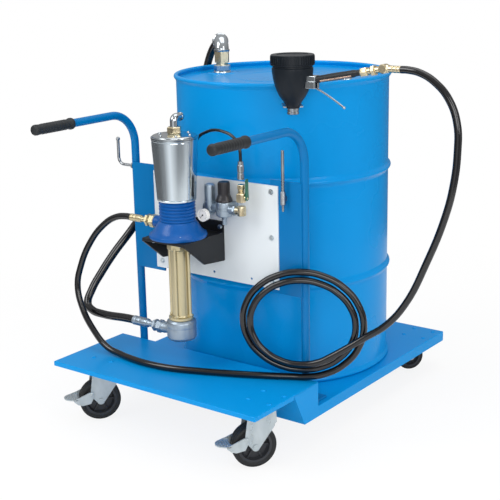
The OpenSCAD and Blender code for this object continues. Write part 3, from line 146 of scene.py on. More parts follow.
floor_r = 1.95
floor_steps = 96
floor_mesh = bpy.data.meshes.new("floor")
floor_mesh.from_pydata([(x, y, 0) for x, y in ring(floor_r, floor_steps)], [], [tuple(range(floor_steps))])
floor = bpy.data.objects.new("floor", floor_mesh)
scene.collection.objects.link(floor)
floor_paint = bpy.data.materials.new("pale floor")
floor_paint.use_nodes = True
tree = floor_paint.node_tree
tree.nodes.clear()
out = add(tree, "OutputMaterial")
matt = add(tree, "BsdfDiffuse", {"Color": (0.93, 0.93, 0.93, 1)})
glow = add(tree, "Emission", {"Color": white})
path = add(tree, "LightPath")
share = add(tree, "Math", operation="MULTIPLY")
spot = add(tree, "NewGeometry")
away = add(tree, "VectorMath", operation="LENGTH")
fade = add(tree, "MapRange", {"From Min": 0.7, "From Max": 1.8, "To Min": 0.86})
mix = add(tree, "MixShader")
wire(tree, (spot, "Position", away, 0), (away, "Value", fade, "Value"), (path, "Is Camera Ray", share, 0),
     (fade, 0, share, 1), (share, 0, mix, 0), (matt, 0, mix, 1), (glow, 0, mix, 2), (mix, 0, out, 0))
floor_mesh.materials.append(floor_paint)

# The free hoses: smooth black rubber with a dull shine, crimped into plated ferrules.
# One delivery hose runs from the pump over the deck, round the coil and up to the
# gun; the suction hose runs from the drum's elbow down the back to the pump's foot.
hose_wide = 17 * mm
suction_wide = 22 * mm


def surface(name, colour, other, rough, patch, grain=400, relief=0.02, metal=0, coat=0, coat_rough=0.1,
            stretch=(1, 1, 1), gloss=0.5):
    """A finish: two tones mixed by a soft noise, a roughness that drifts and a fine relief."""
    material = bpy.data.materials.new(name)
    material.use_nodes = True
    tree = material.node_tree
    shader = tree.nodes["Principled BSDF"]
    shader.inputs["Metallic"].default_value = metal
    shader.inputs["Coat Weight"].default_value = coat
    shader.inputs["Coat Roughness"].default_value = coat_rough
    shader.inputs["Specular IOR Level"].default_value = gloss
    where = add(tree, "TexCoord")
    scaled = add(tree, "Mapping", {"Scale": stretch})
    clouds = add(tree, "TexNoise", {"Scale": patch, "Detail": 4})
    tones = add(tree, "Mix", {"A": (*colour, 1), "B": (*other, 1)}, data_type="RGBA")
    drift = add(tree, "MapRange", {"From Min": 0.3, "From Max": 0.7, "To Min": rough[0], "To Max": rough[1]})
    fine = add(tree, "TexNoise", {"Scale": grain, "Detail": 3})
    bump = add(tree, "Bump", {"Strength": relief, "Distance": 0.001})
    wire(tree, (where, "Object", scaled, "Vector"), (scaled, 0, clouds, "Vector"), (scaled, 0, fine, "Vector"),
         (clouds, "Fac", tones, "Factor"), (clouds, "Fac", drift, "Value"), (tones, "Result", shader, "Base Color"),
         (drift, 0, shader, "Roughness"), (fine, "Fac", bump, "Height"), (bump, 0, shader, "Normal"))
    return material


def low(node):
    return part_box(node)[0]


def high(node):
    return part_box(node)[1]


def middle(node):
    return (low(node) + high(node)) / 2


def laid(first, out, points, last, back, wide):
    """A hose's route: its two ends run straight for one diameter, then the chosen points."""
    return [first, first + out * wide, *[Vector(p) for p in points], last + back * wide, last]


def tube(name, points, wide, rounding, nodes):
    """A round hose on one smooth curve that stands for CAD nodes."""
    curve = bpy.data.curves.new(name, "CURVE")
    curve.dimensions = "3D"
    curve.bevel_depth = wide / 2
    curve.bevel_resolution = rounding
    curve.resolution_u = 6
    curve.use_fill_caps = True
    spline = curve.splines.new("BEZIER")
    spline.bezier_points.add(len(points) - 1)
    for knot, point in zip(spline.bezier_points, points):
        knot.co = point
        knot.handle_left_type = knot.handle_right_type = "AUTO"
    curve.materials.append(hose_rubber)
    made = bpy.data.objects.new(name, curve)
    scene.collection.objects.link(made)
    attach(made, "trolley")
    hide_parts(*nodes)
    return made


def hose(name, points, wide, nodes):
    """A free hose: a round tube on one smooth curve, with five steps of rounding."""
    tube(name, points, wide, 5, nodes)


hose_rubber = surface("hose rubber", (0.002, 0.002, 0.003), (0.005, 0.005, 0.006), (0.10, 0.17), 14, 900, 0.02,
                      gloss=0.58)
rim_z = high("drum_shell").z
pump_axis = middle("pump_barrel")
elbow_turn = math.radians(45)
elbow_out = Vector((-math.cos(elbow_turn), math.sin(elbow_turn), 0))
elbow_reach = 31 * mm
elbow_up = 70 * mm
bung = middle("bung_nut")
elbow_middle = Vector((bung.x, bung.y, rim_z + elbow_up))
to_left = Vector((-1, 0, 0))

suction_route = [
    (-0.349, 0.199, 0.954), (-0.371, 0.208, 0.936), (-0.388, 0.207, 0.900), (-0.397, 0.200, 0.850),
    (-0.401, 0.175, 0.770), (-0.402, 0.125, 0.690), (-0.401, 0.060, 0.610), (-0.401, -0.020, 0.548),
    (-0.403, -0.090, 0.500), (-0.412, -0.140, 0.455), (-0.432, -0.178, 0.408), (-0.452, -0.210, 0.358),
    (-0.466, -0.238, 0.312), (-0.463, -0.260, 0.279), (-0.438, -0.269, 0.266), (-0.400, -0.270, 0.262)]
suction_first = elbow_middle + elbow_out * elbow_reach
suction_last = Vector((low("inlet_fitting").x, pump_axis.y, middle("inlet_fitting").z))
hose("suction_line", laid(suction_first, elbow_out, suction_route, suction_last, to_left, suction_wide),
     suction_wide, ["suction_hose"])

delivery_route = [
    (-0.330, -0.271, 0.541), (-0.372, -0.275, 0.515), (-0.418, -0.282, 0.462), (-0.450, -0.290, 0.395),
    (-0.460, -0.297, 0.340), (-0.441, -0.303, 0.282), (-0.400, -0.307, 0.228), (-0.350, -0.310, 0.190),
    (-0.300, -0.312, 0.180), (-0.245, -0.320, 0.179), (-0.190, -0.323, 0.179), (-0.124, -0.315, 0.179),
    (-0.047, -0.289, 0.179), (0.050, -0.249, 0.179), (0.117, -0.217, 0.179)]
gun_route = [
    (0.345, -0.136, 0.299), (0.400, -0.129, 0.340), (0.452, -0.128, 0.404), (0.502, -0.128, 0.506),
    (0.548, -0.128, 0.625), (0.566, -0.128, 0.700), (0.573, -0.128, 0.770), (0.570, -0.128, 0.835),
    (0.549, -0.128, 0.886), (0.516, -0.128, 0.920), (0.480, -0.128, 0.939)]
coil_turns = 2.11
coil_half_wide = 160 * mm
coil_half_tall = 141 * mm
coil_step = 20 * mm
coil_side = 19 * mm
coil_angle = math.radians(25)
coil_knots = 16
deck_top = high("front_deck").z
tube_wide = 21 * mm
strap_thick = 5 * mm
seat = 0.3 * mm
column_y = high("cross_beam").y + tube_wide / 2 + seat
column_gap = 543 * mm
coil_clear = hose_wide / 2 + tube_wide / 2 + strap_thick + seat * 2
coil_slide = -8 * mm
coil_along = Vector((math.cos(coil_angle), math.sin(coil_angle), 0))
coil_front = Vector((math.sin(coil_angle), -math.cos(coil_angle), 0))
right_column_x = high("grips").x - (high("grips").x - low("grips").x - column_gap) / 2
coil_middle = (Vector((right_column_x, column_y, deck_top + hose_wide / 2 + seat * 2 + coil_half_tall))
               + coil_front * coil_clear + coil_along * coil_slide)


def coil_point(turns):
    angle = math.radians(-90 + 360 * turns)
    wide = (coil_half_wide - coil_step * turns) * math.cos(angle)
    tall = (coil_half_tall - coil_step * turns) * math.sin(angle)
    front = coil_side * max(0, turns - 1) ** 2
    return coil_middle + coil_along * wide + coil_front * front + Vector((0, 0, tall))


coil_line = [coil_point(i / coil_knots) for i in range(int(coil_turns * coil_knots) + 1)]
coil_line.append(coil_point(coil_turns))
delivery_first = Vector((low("outlet_fitting").x, pump_axis.y, middle("outlet_fitting").z))
gun_end_up = 53 * mm
gun_y = middle("gun_swivel").y
gun_last = Vector((high("gun_swivel").x, gun_y, rim_z + gun_end_up))
delivery_line = laid(delivery_first, to_left, delivery_route, coil_line[0], -coil_along, hose_wide)[:-1]
gun_line = [Vector(p) for p in gun_route] + [gun_last - to_left * hose_wide, gun_last]
hose("delivery_line", delivery_line + coil_line + gun_line, hose_wide,
     ["delivery_hose", "hose_coil", "gun_hose"])


# The trolley: folded steel sheet in bright blue powder coat. The raised deck has a
# short lip, a box beam welded under its rear edge makes the step, and the low floor
# behind it carries the drum.
deck_coat = surface("deck powder coat", (0, 0.245, 0.62), (0, 0.285, 0.69), (0.30, 0.44), 3, 260, 0.05,
                    coat=0.04, coat_rough=0.12, gloss=0.14)
sheet = 3 * mm
fold = 2.2 * mm


def soften(shape, radius, steps=2, sharper=30):
    """Rounds every edge at which two faces meet at more than the given angle."""
    edges = [e for e in shape.edges if len(e.link_faces) == 2 and e.calc_face_angle(0) > math.radians(sharper)]
    bmesh.ops.bevel(shape, geom=edges, offset=radius, segments=steps, affect="EDGES", profile=0.5,
                    clamp_overlap=True)
    return shape


def block(corner, other, radius=0.0, steps=2):
    """A block between two opposite corners, with its edges rounded."""
    shape = bmesh.new()
    bmesh.ops.create_cube(shape, size=1)
    a, b = Vector(corner), Vector(other)
    scale = Matrix.Diagonal((*[abs(v) for v in (b - a)], 1))
    bmesh.ops.transform(shape, matrix=Matrix.Translation((a + b) / 2) @ scale, verts=shape.verts)
    return soften(shape, radius, steps) if radius else shape


def skin(shape, a, b):
    """Faces between two rings of corners; a ring of one corner is a point."""
    steps = max(len(a), len(b))
    for i in range(steps):
        j = (i + 1) % steps
        if len(a) == 1:
            shape.faces.new((a[0], b[j], b[i]))
        elif len(b) == 1:
            shape.faces.new((a[i], a[j], b[0]))
        else:
            shape.faces.new((a[i], a[j], b[j], b[i]))


def plate(outline, thick, radius=0.0, steps=2):
    """A flat plate from an outline in X and Y, from zero up to its thickness."""
    shape = bmesh.new()
    under, over = [[shape.verts.new((x, y, z)) for x, y in outline] for z in (0, thick)]
    shape.faces.new(under[::-1])
    shape.faces.new(over)
    skin(shape, under, over)
    return soften(shape, radius, steps) if radius else shape


def turned(profile, steps=64, closed=False):
    """A body turned about Z from (radius, height) points; a zero radius closes an end."""
    shape = bmesh.new()
    rings = [[shape.verts.new((x, y, z)) for x, y in (ring(r, steps) if r > 1e-7 else [(0, 0)])] for r, z in profile]
    for a, b in zip(rings, rings[1:] + rings[:1] if closed else rings[1:]):
        skin(shape, a, b)
    return shape


def sized(points, wide=mm, tall=mm, up=0):
    """A profile from a table of radii and heights, in millimetres unless other units are given."""
    return [(wide * r, up + tall * z) for r, z in points]


def bar(radius, long, steps=24):
    """A plain round bar that stands on zero."""
    return turned([(0, 0), (radius, 0), (radius, long), (0, long)], steps)


def swept(shape, rings):
    """Skins a row of rings and closes both ends."""
    for a, b in zip(rings, rings[1:]):
        skin(shape, a, b)
    shape.faces.new(rings[0][::-1])
    shape.faces.new(rings[-1])
    return shape


def hexagon(radius, tall, sides=6):
    """A hexagon bar with its corners chamfered at both ends."""
    shape = bmesh.new()
    cuts = [(0.90, 0), (1, 0.12), (1, 0.88), (0.90, 1)]
    swept(shape, [[shape.verts.new((x * s, y * s, tall * h)) for x, y in ring(radius, sides)] for s, h in cuts])
    return soften(shape, radius * 0.03, 1, 40)


def rod(points, radius, sides=16):
    """A round bar swept along a line of points, its rings carried along without twist."""
    points = [Vector(p) for p in points]
    last = len(points) - 1
    ways = [(points[min(i + 1, last)] - points[max(i - 1, 0)]).normalized() for i in range(last + 1)]
    side = ways[0].orthogonal().normalized()
    shape = bmesh.new()
    rings = []
    for point, way in zip(points, ways):
        side = (side - way * side.dot(way)).normalized()
        rings.append([shape.verts.new(point + x * side + y * way.cross(side)) for x, y in ring(radius, sides)])
    return swept(shape, rings)


def at(x, y, z):
    return Matrix.Translation((x, y, z))


def spun(angle):
    return Matrix.Rotation(angle, 4, "Z")


def toward(direction):
    """Turns a shape's Z axis to the given direction."""
    return Vector(direction).to_track_quat("Z", "Y").to_matrix().to_4x4()


def piece(name, shapes, finish, stands_for=(), body="trolley", crease=38):
    """Joins shapes, each with its place, into one piece that rides on a body."""
    mesh = bpy.data.meshes.new(name)
    whole = bmesh.new()
    for shape, place in shapes:
        bmesh.ops.transform(shape, matrix=place, verts=shape.verts)
        shape.to_mesh(mesh)
        whole.from_mesh(mesh)
        shape.free()
    bmesh.ops.recalc_face_normals(whole, faces=whole.faces)
    whole.to_mesh(mesh)
    whole.free()
    mesh.polygons.foreach_set("use_smooth", [True] * len(mesh.polygons))
    mesh.set_sharp_from_angle(angle=math.radians(crease))
    mesh.materials.append(finish)
    made = bpy.data.objects.new(name, mesh)
    scene.collection.objects.link(made)
    made.modifiers.new("flat faces", "WEIGHTED_NORMAL").keep_sharp = True
    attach(made, body)
    if stands_for:
        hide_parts(*stands_for)


def dress(nodes, finish):
    """Gives CAD solids that keep their shape a finish of this file."""
    for node in nodes:
        mesh = frame["nodes"][node].data
        mesh.materials.clear()
        mesh.materials.append(finish)


def pan(corner, other, open_side, lips_end=None):
    """A folded sheet pan, open below and on one side; its side lips may end early."""
    shape = block(corner, other)
    gone = [f for f in shape.faces if f.normal.z < -0.5 or f.normal.dot(Vector(open_side)) > 0.5]
    bmesh.ops.delete(shape, geom=gone, context="FACES")
    soften(shape, fold, 4)
    if lips_end is not None:
        cut = shape.verts[:] + shape.edges[:] + shape.faces[:]
        bmesh.ops.bisect_plane(shape, geom=cut, plane_co=(0, lips_end, 0), plane_no=(0, 1, 0))
        gone = [f for f in shape.faces if f.calc_center_median().y > lips_end and abs(f.normal.z) < 0.05]
        bmesh.ops.delete(shape, geom=gone, context="FACES")
    bmesh.ops.recalc_face_normals(shape, faces=shape.faces)
    top = max(shape.faces, key=lambda f: f.calc_area())
    if top.normal.z < 0:
        bmesh.ops.reverse_faces(shape, faces=shape.faces)
    bmesh.ops.solidify(shape, geom=shape.faces[:], thickness=sheet)
    return shape


here = Matrix.Identity(4)
leftward, rightward, frontward, backward = [toward(d) for d in ((-1, 0, 0), (1, 0, 0), (0, -1, 0), (0, 1, 0))]
deck_low, deck_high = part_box("front_deck")
beam_low, beam_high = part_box("cross_beam")
floor_low, floor_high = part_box("low_floor")
beam_foot = 60 * mm
piece("raised_deck", [(pan(deck_low, deck_high, (0, 1, 0), beam_low.y), here)], deck_coat,
      ["front_deck"])
beam_end = [(beam_high.y, beam_low.z), (beam_high.y, beam_high.z), (beam_low.y, beam_high.z),
            (beam_high.y - beam_foot, beam_low.z)]
along = Matrix(((0, 0, 1, 0), (1, 0, 0, 0), (0, 1, 0, 0), (0, 0, 0, 1)))
piece("step_beam", [(plate(beam_end, beam_high.x - beam_low.x, 2 * mm, 3), at(beam_low.x, 0, 0) @ along)],
      deck_coat, ["cross_beam"])
piece("floor_pan", [(pan(floor_low, floor_high, (0, -1, 0)), here)], deck_coat, ["low_floor"])
weld = 2.2 * mm
weld_ripples = 90


def bead(start, end, radius=weld, ripples=weld_ripples):
    """A weld bead between two points, its radius rippling along it."""
    start, end = Vector(start), Vector(end)
    way = end - start
    profile = [(radius * (0.82 + 0.18 * math.cos(i * math.pi)), way.length * i / ripples) for i in range(ripples + 1)]
    return turned([(0, 0), *profile, (0, way.length)], 10), Matrix.Translation(start) @ toward(way)


piece("deck_welds", [bead((beam_low.x + 4 * mm, y, z), (beam_high.x - 4 * mm, y, z))
                     for y, z in ((beam_low.y, beam_high.z - 0.8 * mm), (beam_high.y, floor_high.z + 0.4 * mm))],
      deck_coat)

# Swivel casters: zinc-plated pressed forks under bolted plates, black wheels with
# rubber tyres, and on the front pair a brake pedal that presses on the tyre.
zinc = surface("bright zinc", (0.50, 0.56, 0.60), (0.64, 0.70, 0.73), (0.22, 0.36), 22, 300, 0.03, metal=1)
zinc_sheet = surface("rolled zinc sheet", (0.27, 0.32, 0.34), (0.58, 0.63, 0.65), (0.24, 0.42), 42, 240, 0.06,
                     metal=0.55, stretch=(1, 1, 0.4))
core_plastic = surface("wheel core plastic", (0.018, 0.020, 0.024), (0.036, 0.038, 0.044), (0.4, 0.55), 30, 600,
                       0.05, gloss=0.35)
tyre_rubber = surface("tyre rubber", (0.008, 0.009, 0.010), (0.022, 0.023, 0.024), (0.55, 0.75), 26, 500, 0.2,
                      gloss=0.3)
pivots = {j["name"]: j.get("pos_m") for j in frame["joints"]}
leg_thick = 3 * mm
leg_gap = 3 * mm
head_wide = 27 * mm
head_tall = 12 * mm
plate_thick = 4 * mm
axle = 5 * mm
pivot_ahead = 24 * mm
pivot_up = 22 * mm
pedal_reach = 95 * mm
pedal_tip = 23 * mm
pedal_drop = 12 * mm
plate_half = 42 * mm
bolt_gap = 62 * mm
tyre_half = {"front": 18 * mm, "rear": 14 * mm}


def arc(middle_x, middle_y, radius, start, stop, steps=8):
    """Points on a round stretch of an outline, from one angle to another in degrees."""
    turn = [math.radians(start + (stop - start) * i / steps) for i in range(steps + 1)]
    return [(middle_x + radius * math.cos(t), middle_y + radius * math.sin(t)) for t in turn]


upright = Matrix(((1, 0, 0, 0), (0, 0, -1, 0), (0, 1, 0, 0), (0, 0, 0, 1)))
for corner in ("front_left", "front_right", "rear_left", "rear_right"):
    swivel = Vector(pivots[corner + "_swivel"])
    hub = Vector(pivots[corner + "_spin"])
    kind = corner.split("_")[0]
    r = hub.z
    trail = math.hypot(hub.x - swivel.x, hub.y - swivel.y)
    base = at(swivel.x, swivel.y, 0) @ spun(math.atan2(hub.y - swivel.y, hub.x - swivel.x))
    half = tyre_half[kind]
    inner = half + leg_gap
    under = (deck_top if kind == "front" else floor_high.z) - sheet
    head_top = under - plate_thick - seat
    yoke = head_top - head_tall - leg_thick
    nose = trail + pivot_ahead
    eye = min(r + pivot_up, yoke - pivot_ahead / 4)
    leg = (arc(trail, r, axle * 2, 200, 340, 10)
           + arc(nose, eye, 4.5 * mm, -40, 60, 6)
           + arc(trail + pivot_ahead * 1.1, yoke + leg_thick * 0.2, pivot_ahead * 0.85, 250, 180, 6)
           + [(trail + pivot_ahead / 4, yoke + leg_thick), (-head_wide * 0.6, yoke + leg_thick)]
           + arc(-head_wide * 0.9, (r + yoke) / 2 + 4 * mm, head_wide * 0.42, 60, 0, 5))
    shapes = []
    for side in (-1, 1):
        y = side * (inner + leg_thick / 2) + leg_thick / 2
        shapes += [(plate(leg, leg_thick, 0.7 * mm), base @ at(0, y, 0) @ upright),
                   (hexagon(axle * 1.7, leg_thick * 0.9),
                    base @ at(trail, side * (inner + leg_thick), r) @ toward((0, side, 0)))]
    race = sized([(0, 0), (0.86, 0), (0.9, 2), (1, 5), (1, 9), (0.9, 11), (0.82, 11.4), (0.82, 12), (0.95, 12.4)],
                 head_wide, up=yoke)
    shapes += [(block((-head_wide * 0.6, -inner - leg_thick, yoke), (trail, inner + leg_thick, yoke + leg_thick),
                      0.8 * mm), base),
               (turned(race + [(head_wide * 0.95, head_top), (0, head_top)]), base),
               (bar(axle, 2 * inner), base @ at(trail, inner, r) @ frontward)]
    piece(corner + "_pressed_fork", shapes, zinc_sheet, [corner + "_fork"], corner + "_caster")

    spin = base @ at(trail, 0, r) @ frontward
    core = r * 0.78
    edge = half + leg_gap * 0.45
    rim = [(axle + 0.2 * mm, -edge), (12 * mm, -edge), (12.6 * mm, -half * 0.7), (15 * mm, -half * 0.34)]
    rim += sized([(0.78, -0.28), (0.84, -0.6), (0.86, -0.9), (1, -0.9)], core, half)
    rim += [(x, -z) for x, z in reversed(rim)]
    piece(corner + "_wheel_core", [(turned(rim, 72, True), spin)]
          + [(block((14 * mm, -1.6 * mm, -half * 0.62), (core * 0.82, 1.6 * mm, half * 0.62), 0.6 * mm),
              spin @ spun(math.tau * k / 6)) for k in range(6)],
          core_plastic, [corner + "_wheel"], corner + "_rolling")
    band = sized([(1, -0.9), (1.08, -0.98)], core, half) + sized(
        [(0.93, -1), (0.975, -0.93), (0.995, -0.76), (1, -0.5), (1, -0.36), (0.985, -0.34), (0.985, -0.28),
         (1, -0.26), (1, 0)], r, half)
    band += [(x, -z) for x, z in reversed(band[:-1])]
    piece(corner + "_tyre_band", [(turned(band, 96, True), spin)], tyre_rubber, [corner + "_tyre"],
          corner + "_rolling")

    if kind == "front":
        outer = inner + leg_thick + seat + leg_thick
        near = trail + r + leg_gap * 2
        far = trail + pedal_reach
        mid = near + (far - near) * 0.3
        tread_z = r + pivot_up * 0.4
        arm = [(nose - 6 * mm, r + pivot_up + 6 * mm), (nose - 6 * mm, r + pivot_up - 7 * mm),
               (nose + 3 * mm, tread_z - pedal_drop), (near - pedal_drop, tread_z - pedal_drop * 1.3),
               (near, tread_z - pedal_drop), (mid, tread_z - 3 * mm), (mid, tread_z + 3 * mm),
               (near, tread_z + 6 * mm), (nose + 6 * mm, r + pivot_up + 6 * mm)]
        tread = ([(near, -outer), (mid, -outer)] + arc(far - pedal_tip, 0, pedal_tip, -70, 70, 10)
                 + [(mid, outer), (near, outer)] + arc(trail + r * 0.2, 0, near - trail - r * 0.2, 24, -24, 8))
        rivet = sized([(0, 0), (4.4, 0), (4.6, 1), (2.5, 1.8), (0, 1.8)])
        shapes = [(plate(tread, leg_thick, 0.9 * mm), base @ at(0, 0, tread_z))]
        for side in (-1, 1):
            y = side * (outer - leg_thick / 2) + leg_thick / 2
            shapes += [(plate(arm, leg_thick, 0.7 * mm), base @ at(0, y, 0) @ upright),
                       (turned(rivet, 20), base @ at(nose, side * outer, r + pivot_up) @ toward((0, side, 0)))]
        for k in range(4):
            s = near + 6 * mm + k * 6.5 * mm
            wide = outer * 0.72 - max(0, s - mid) * 0.55
            shapes.append((block((s, -wide, tread_z + leg_thick * 0.7),
                                 (s + 2.6 * mm, wide, tread_z + leg_thick * 1.5), 0.9 * mm), base))
        piece(corner + "_brake_pedal", shapes, zinc_sheet, [corner + "_pedal"], corner + "_brake")

    plate_low = under - plate_thick
    square = Vector((plate_half, plate_half, 0))
    centre = Vector((swivel.x, swivel.y, 0))
    piece(corner + "_top_plate", [
        (block(centre - square + Vector((0, 0, plate_low)), centre + square + Vector((0, 0, under)), 1.2 * mm), here),
        (bar(6 * mm, head_tall), at(swivel.x, swivel.y, plate_low - head_tall)),
    ], zinc, ["caster_plates"])
    shapes = []
    heads = []
    dome = sized([(0, 0), (6.5, 0), (6.3, 0.9), (4.8, 2), (2.4, 2.5), (0, 2.5)])
    stud = sized([(0, 0), (3.6, 0), (4, 0.4), (4, 6), (0, 6)])
    for x in (-0.5, 0.5):
        for y in (-0.5, 0.5):
            place = at(swivel.x + x * bolt_gap, swivel.y + y * bolt_gap, plate_low)
            heads.append((turned(dome, 28), place @ at(0, 0, plate_thick + sheet)))
            shapes += [(hexagon(6.5 * mm, 5 * mm), place @ at(0, 0, -5 * mm)),
                       (turned(stud, 20), place @ at(0, 0, -6.5 * mm))]
    piece(corner + "_plate_bolts", shapes, zinc, ["caster_bolts"])
    piece(corner + "_painted_bolt_heads", heads, deck_coat, ["caster_bolts"])

# The drum: a steel drum in gloss enamel, rolled from one sheet with a welded side
# seam, two pressed hoops, a seamed foot and rim and a recessed head.
drum_enamel = surface("drum enamel", (0, 0.248, 0.62), (0, 0.285, 0.69), (0.22, 0.34), 2.4, 120, 0.035,
                      coat=0.06, coat_rough=0.08, gloss=0.12)
drum_low, drum_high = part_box("drum_shell")
drum_x, drum_y = middle("drum_shell").x, middle("drum_shell").y
drum_tall = drum_high.z - drum_low.z
drum_r = 286 * mm
rim_round = 6 * mm
hoop_out = 7 * mm
hoop_half = 15 * mm
hoop_heights = (263 * mm, 535 * mm)
head_drop = 15 * mm
drum_steps = 160
drum_place = at(drum_x, drum_y, drum_low.z)


def hoop(z):
    """A pressed hoop's profile: a smooth swell between two shallow grooves."""
    steps = 14
    shares = [2 * i / steps - 1 for i in range(steps + 1)]
    return [(drum_r + hoop_out * (0.5 + 0.5 * math.cos(math.pi * t)) - 0.9 * mm * math.sin(math.pi * abs(t)) ** 6,
             z + hoop_half * t) for t in shares]


body_profile = (
    sized([(270, 15), (282, 13), (283, 6)]) + arc(drum_r, rim_round, rim_round, 180, 400)
    + sized([(286.4, 15.6), (286, 20.4)]) + hoop(hoop_heights[0]) + hoop(hoop_heights[1])
    + sized([(286, -20.4), (286.4, -15.6)], up=drum_tall) + arc(drum_r, drum_tall - rim_round, rim_round, -40, 180)
    + sized([(283.5, -13), (281.5, -15)], up=drum_tall))
seam_angle = math.radians(118)
seam_gaps = [(rim_round * 4, hoop_heights[0] - hoop_half), (hoop_heights[0] + hoop_half, hoop_heights[1] - hoop_half),
             (hoop_heights[1] + hoop_half, drum_tall - rim_round * 4)]
seams = [(block((drum_r - 1 * mm, -4 * mm, a), (drum_r + 0.5 * mm, 4 * mm, b), 0.4 * mm),
          drum_place @ spun(seam_angle)) for a, b in seam_gaps]
piece("drum_body", [(turned(body_profile, drum_steps), drum_place),
                    (turned(sized([(0, 15), (270, 15)]), drum_steps), drum_place)] + seams,
      drum_enamel, ["drum_shell"], crease=50)

head_z = drum_tall - head_drop
bung_ring = 205 * mm
head_profile = sized([(0, 0), (116, 0), (121, 1.6), (127, 1.6), (132, 0), (246, 0), (251, -1.8), (264, -1.8),
                      (270, 0), (282, 0)], up=head_z)
shapes = [(turned(head_profile, drum_steps), drum_place)]
for x, wide in ((-bung_ring, 41), (bung_ring, 24)):
    boss = sized([(wide, 0), (wide - 2, 1.6), (wide - 7, 2), (wide - 9, 1), (0, 1)])
    shapes.append((turned(boss, 48), drum_place @ at(x, 0, head_z)))
piece("drum_top", shapes, drum_enamel, ["drum_head"], crease=50)

# The suction fitting on the large bung: a zinc lock nut, a brass hexagon nipple and
# a chromed elbow that turns the hose over the rim. The small bung is a zinc plug.
brass = surface("brass", (0.56, 0.47, 0.29), (0.68, 0.59, 0.41), (0.2, 0.36), 30, 300, 0.03, metal=1)
chrome = surface("chrome", (0.38, 0.42, 0.44), (0.55, 0.58, 0.61), (0.08, 0.16), 8, 120, 0.005, metal=1)
elbow_r = 20 * mm
elbow_bend = 26 * mm
pipe_top = elbow_middle.z - elbow_bend
nut_low = high("drum_head").z
nut_place = at(bung.x, bung.y, nut_low)


def threads(radius, long, pitch=1.8 * mm):
    """A threaded stretch as close rings."""
    points = []
    z = 0
    while z < long - pitch:
        points += [(radius * 0.93, z), (radius, z + pitch * 0.35), (radius, z + pitch * 0.6)]
        z += pitch
    return [(0, 0), *points, (radius * 0.93, long), (0, long)]


def quarter(steps, first=0):
    """How far a quarter bend has gone ahead and aside at each step, in radii."""
    turns = [math.pi / 2 * i / steps for i in range(first, steps + 1)]
    return [(math.sin(t), 1 - math.cos(t)) for t in turns]


ferrule = [(0, 0), (0.98, 0), (1.12, 0.04), (1.12, 0.2), (1.02, 0.25), (1.12, 0.3), (1.12, 0.5), (1.02, 0.55),
           (1.12, 0.6), (1.12, 0.9), (1.02, 1), (0, 1)]


def crimp(radius, length):
    """A crimped ferrule over a hose end, its hose side at zero."""
    return turned(sized(ferrule, radius, length), 32)


piece("bung_lock_nut", [
    (turned(sized([(0, 0), (25, 0), (25, 2.4), (24, 5), (20, 5.6), (0, 5.6)]), 56), nut_place),
    (hexagon(23.6 * mm, 16.6 * mm, 8), nut_place @ at(0, 0, 5.4 * mm)),
], zinc, ["bung_nut"])
piece("suction_nipple", [
    (turned(threads(16 * mm, pipe_top - nut_low - 29 * mm), 48), nut_place),
    (hexagon(21.5 * mm, 30 * mm), at(bung.x, bung.y, pipe_top - 30 * mm)),
], brass)
dress(["suction_pipe"], brass)
bend = [Vector((bung.x, bung.y, pipe_top + elbow_bend * up)) + elbow_out * elbow_bend * side
        for up, side in quarter(14)]
collar = sized([(0, 0), (21, 0), (22.4, 1.5), (22.4, 9), (20, 11), (0, 11)])
foot_ring = sized([(0, 0), (21.6, 0), (22, 2), (22, 5), (20, 6.5), (0, 6.5)])
piece("chrome_elbow", [
    (rod(bend, elbow_r, 40), here),
    (turned(foot_ring, 40), at(bung.x, bung.y, pipe_top)),
    (turned(collar, 40), Matrix.Translation(suction_first) @ toward(-elbow_out)),
], chrome, ["drum_elbow"])
plug = sized([(0, 0), (13, 0), (13, 4), (11.6, 6), (6, 6), (5.6, 3), (0, 3)])
piece("small_plug", [(turned(plug, 40), at(drum_x + bung_ring, drum_y, nut_low))], zinc, ["small_bung"])

# Handles: bent steel tube in the trolley's blue, its colour painted darker than the deck's
# as painted shade on the upright tubes, welded feet and welded flat straps that carry the
# panel, with ribbed rubber grips pushed over the ends.
# Painted shade: the handle blue is the deck's blue made darker, standing in for the shade on the upright tubes.
shade_darkened_handle_coat = surface("handle powder coat with painted shade", (0, 0.14, 0.385), (0, 0.17, 0.44), (0.26, 0.38), 4, 260, 0.04,
                      coat=0.06, gloss=0.16)
grip_rubber = surface("grip rubber", (0.008, 0.010, 0.012), (0.019, 0.022, 0.025), (0.42, 0.6), 40, 700, 0.12,
                      gloss=0.4)
grip_low, grip_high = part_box("grips")
handle_z = (grip_low.z + grip_high.z) / 2
bend_r = 85 * mm
grip_long = 128 * mm
handle_end = grip_low.y + 8 * mm
grip_bore = tube_wide / 2
left_column_x = right_column_x - column_gap
panel_low, panel_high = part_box("panel")
strap_low = panel_low.z - 10 * mm
strap_high = panel_low.z + 277 * mm
strap_lap = 25 * mm
foot_weld = sized([(13.5, 0), (12.9, 1.8), (10.5, 3.4), (10.5, 0)])
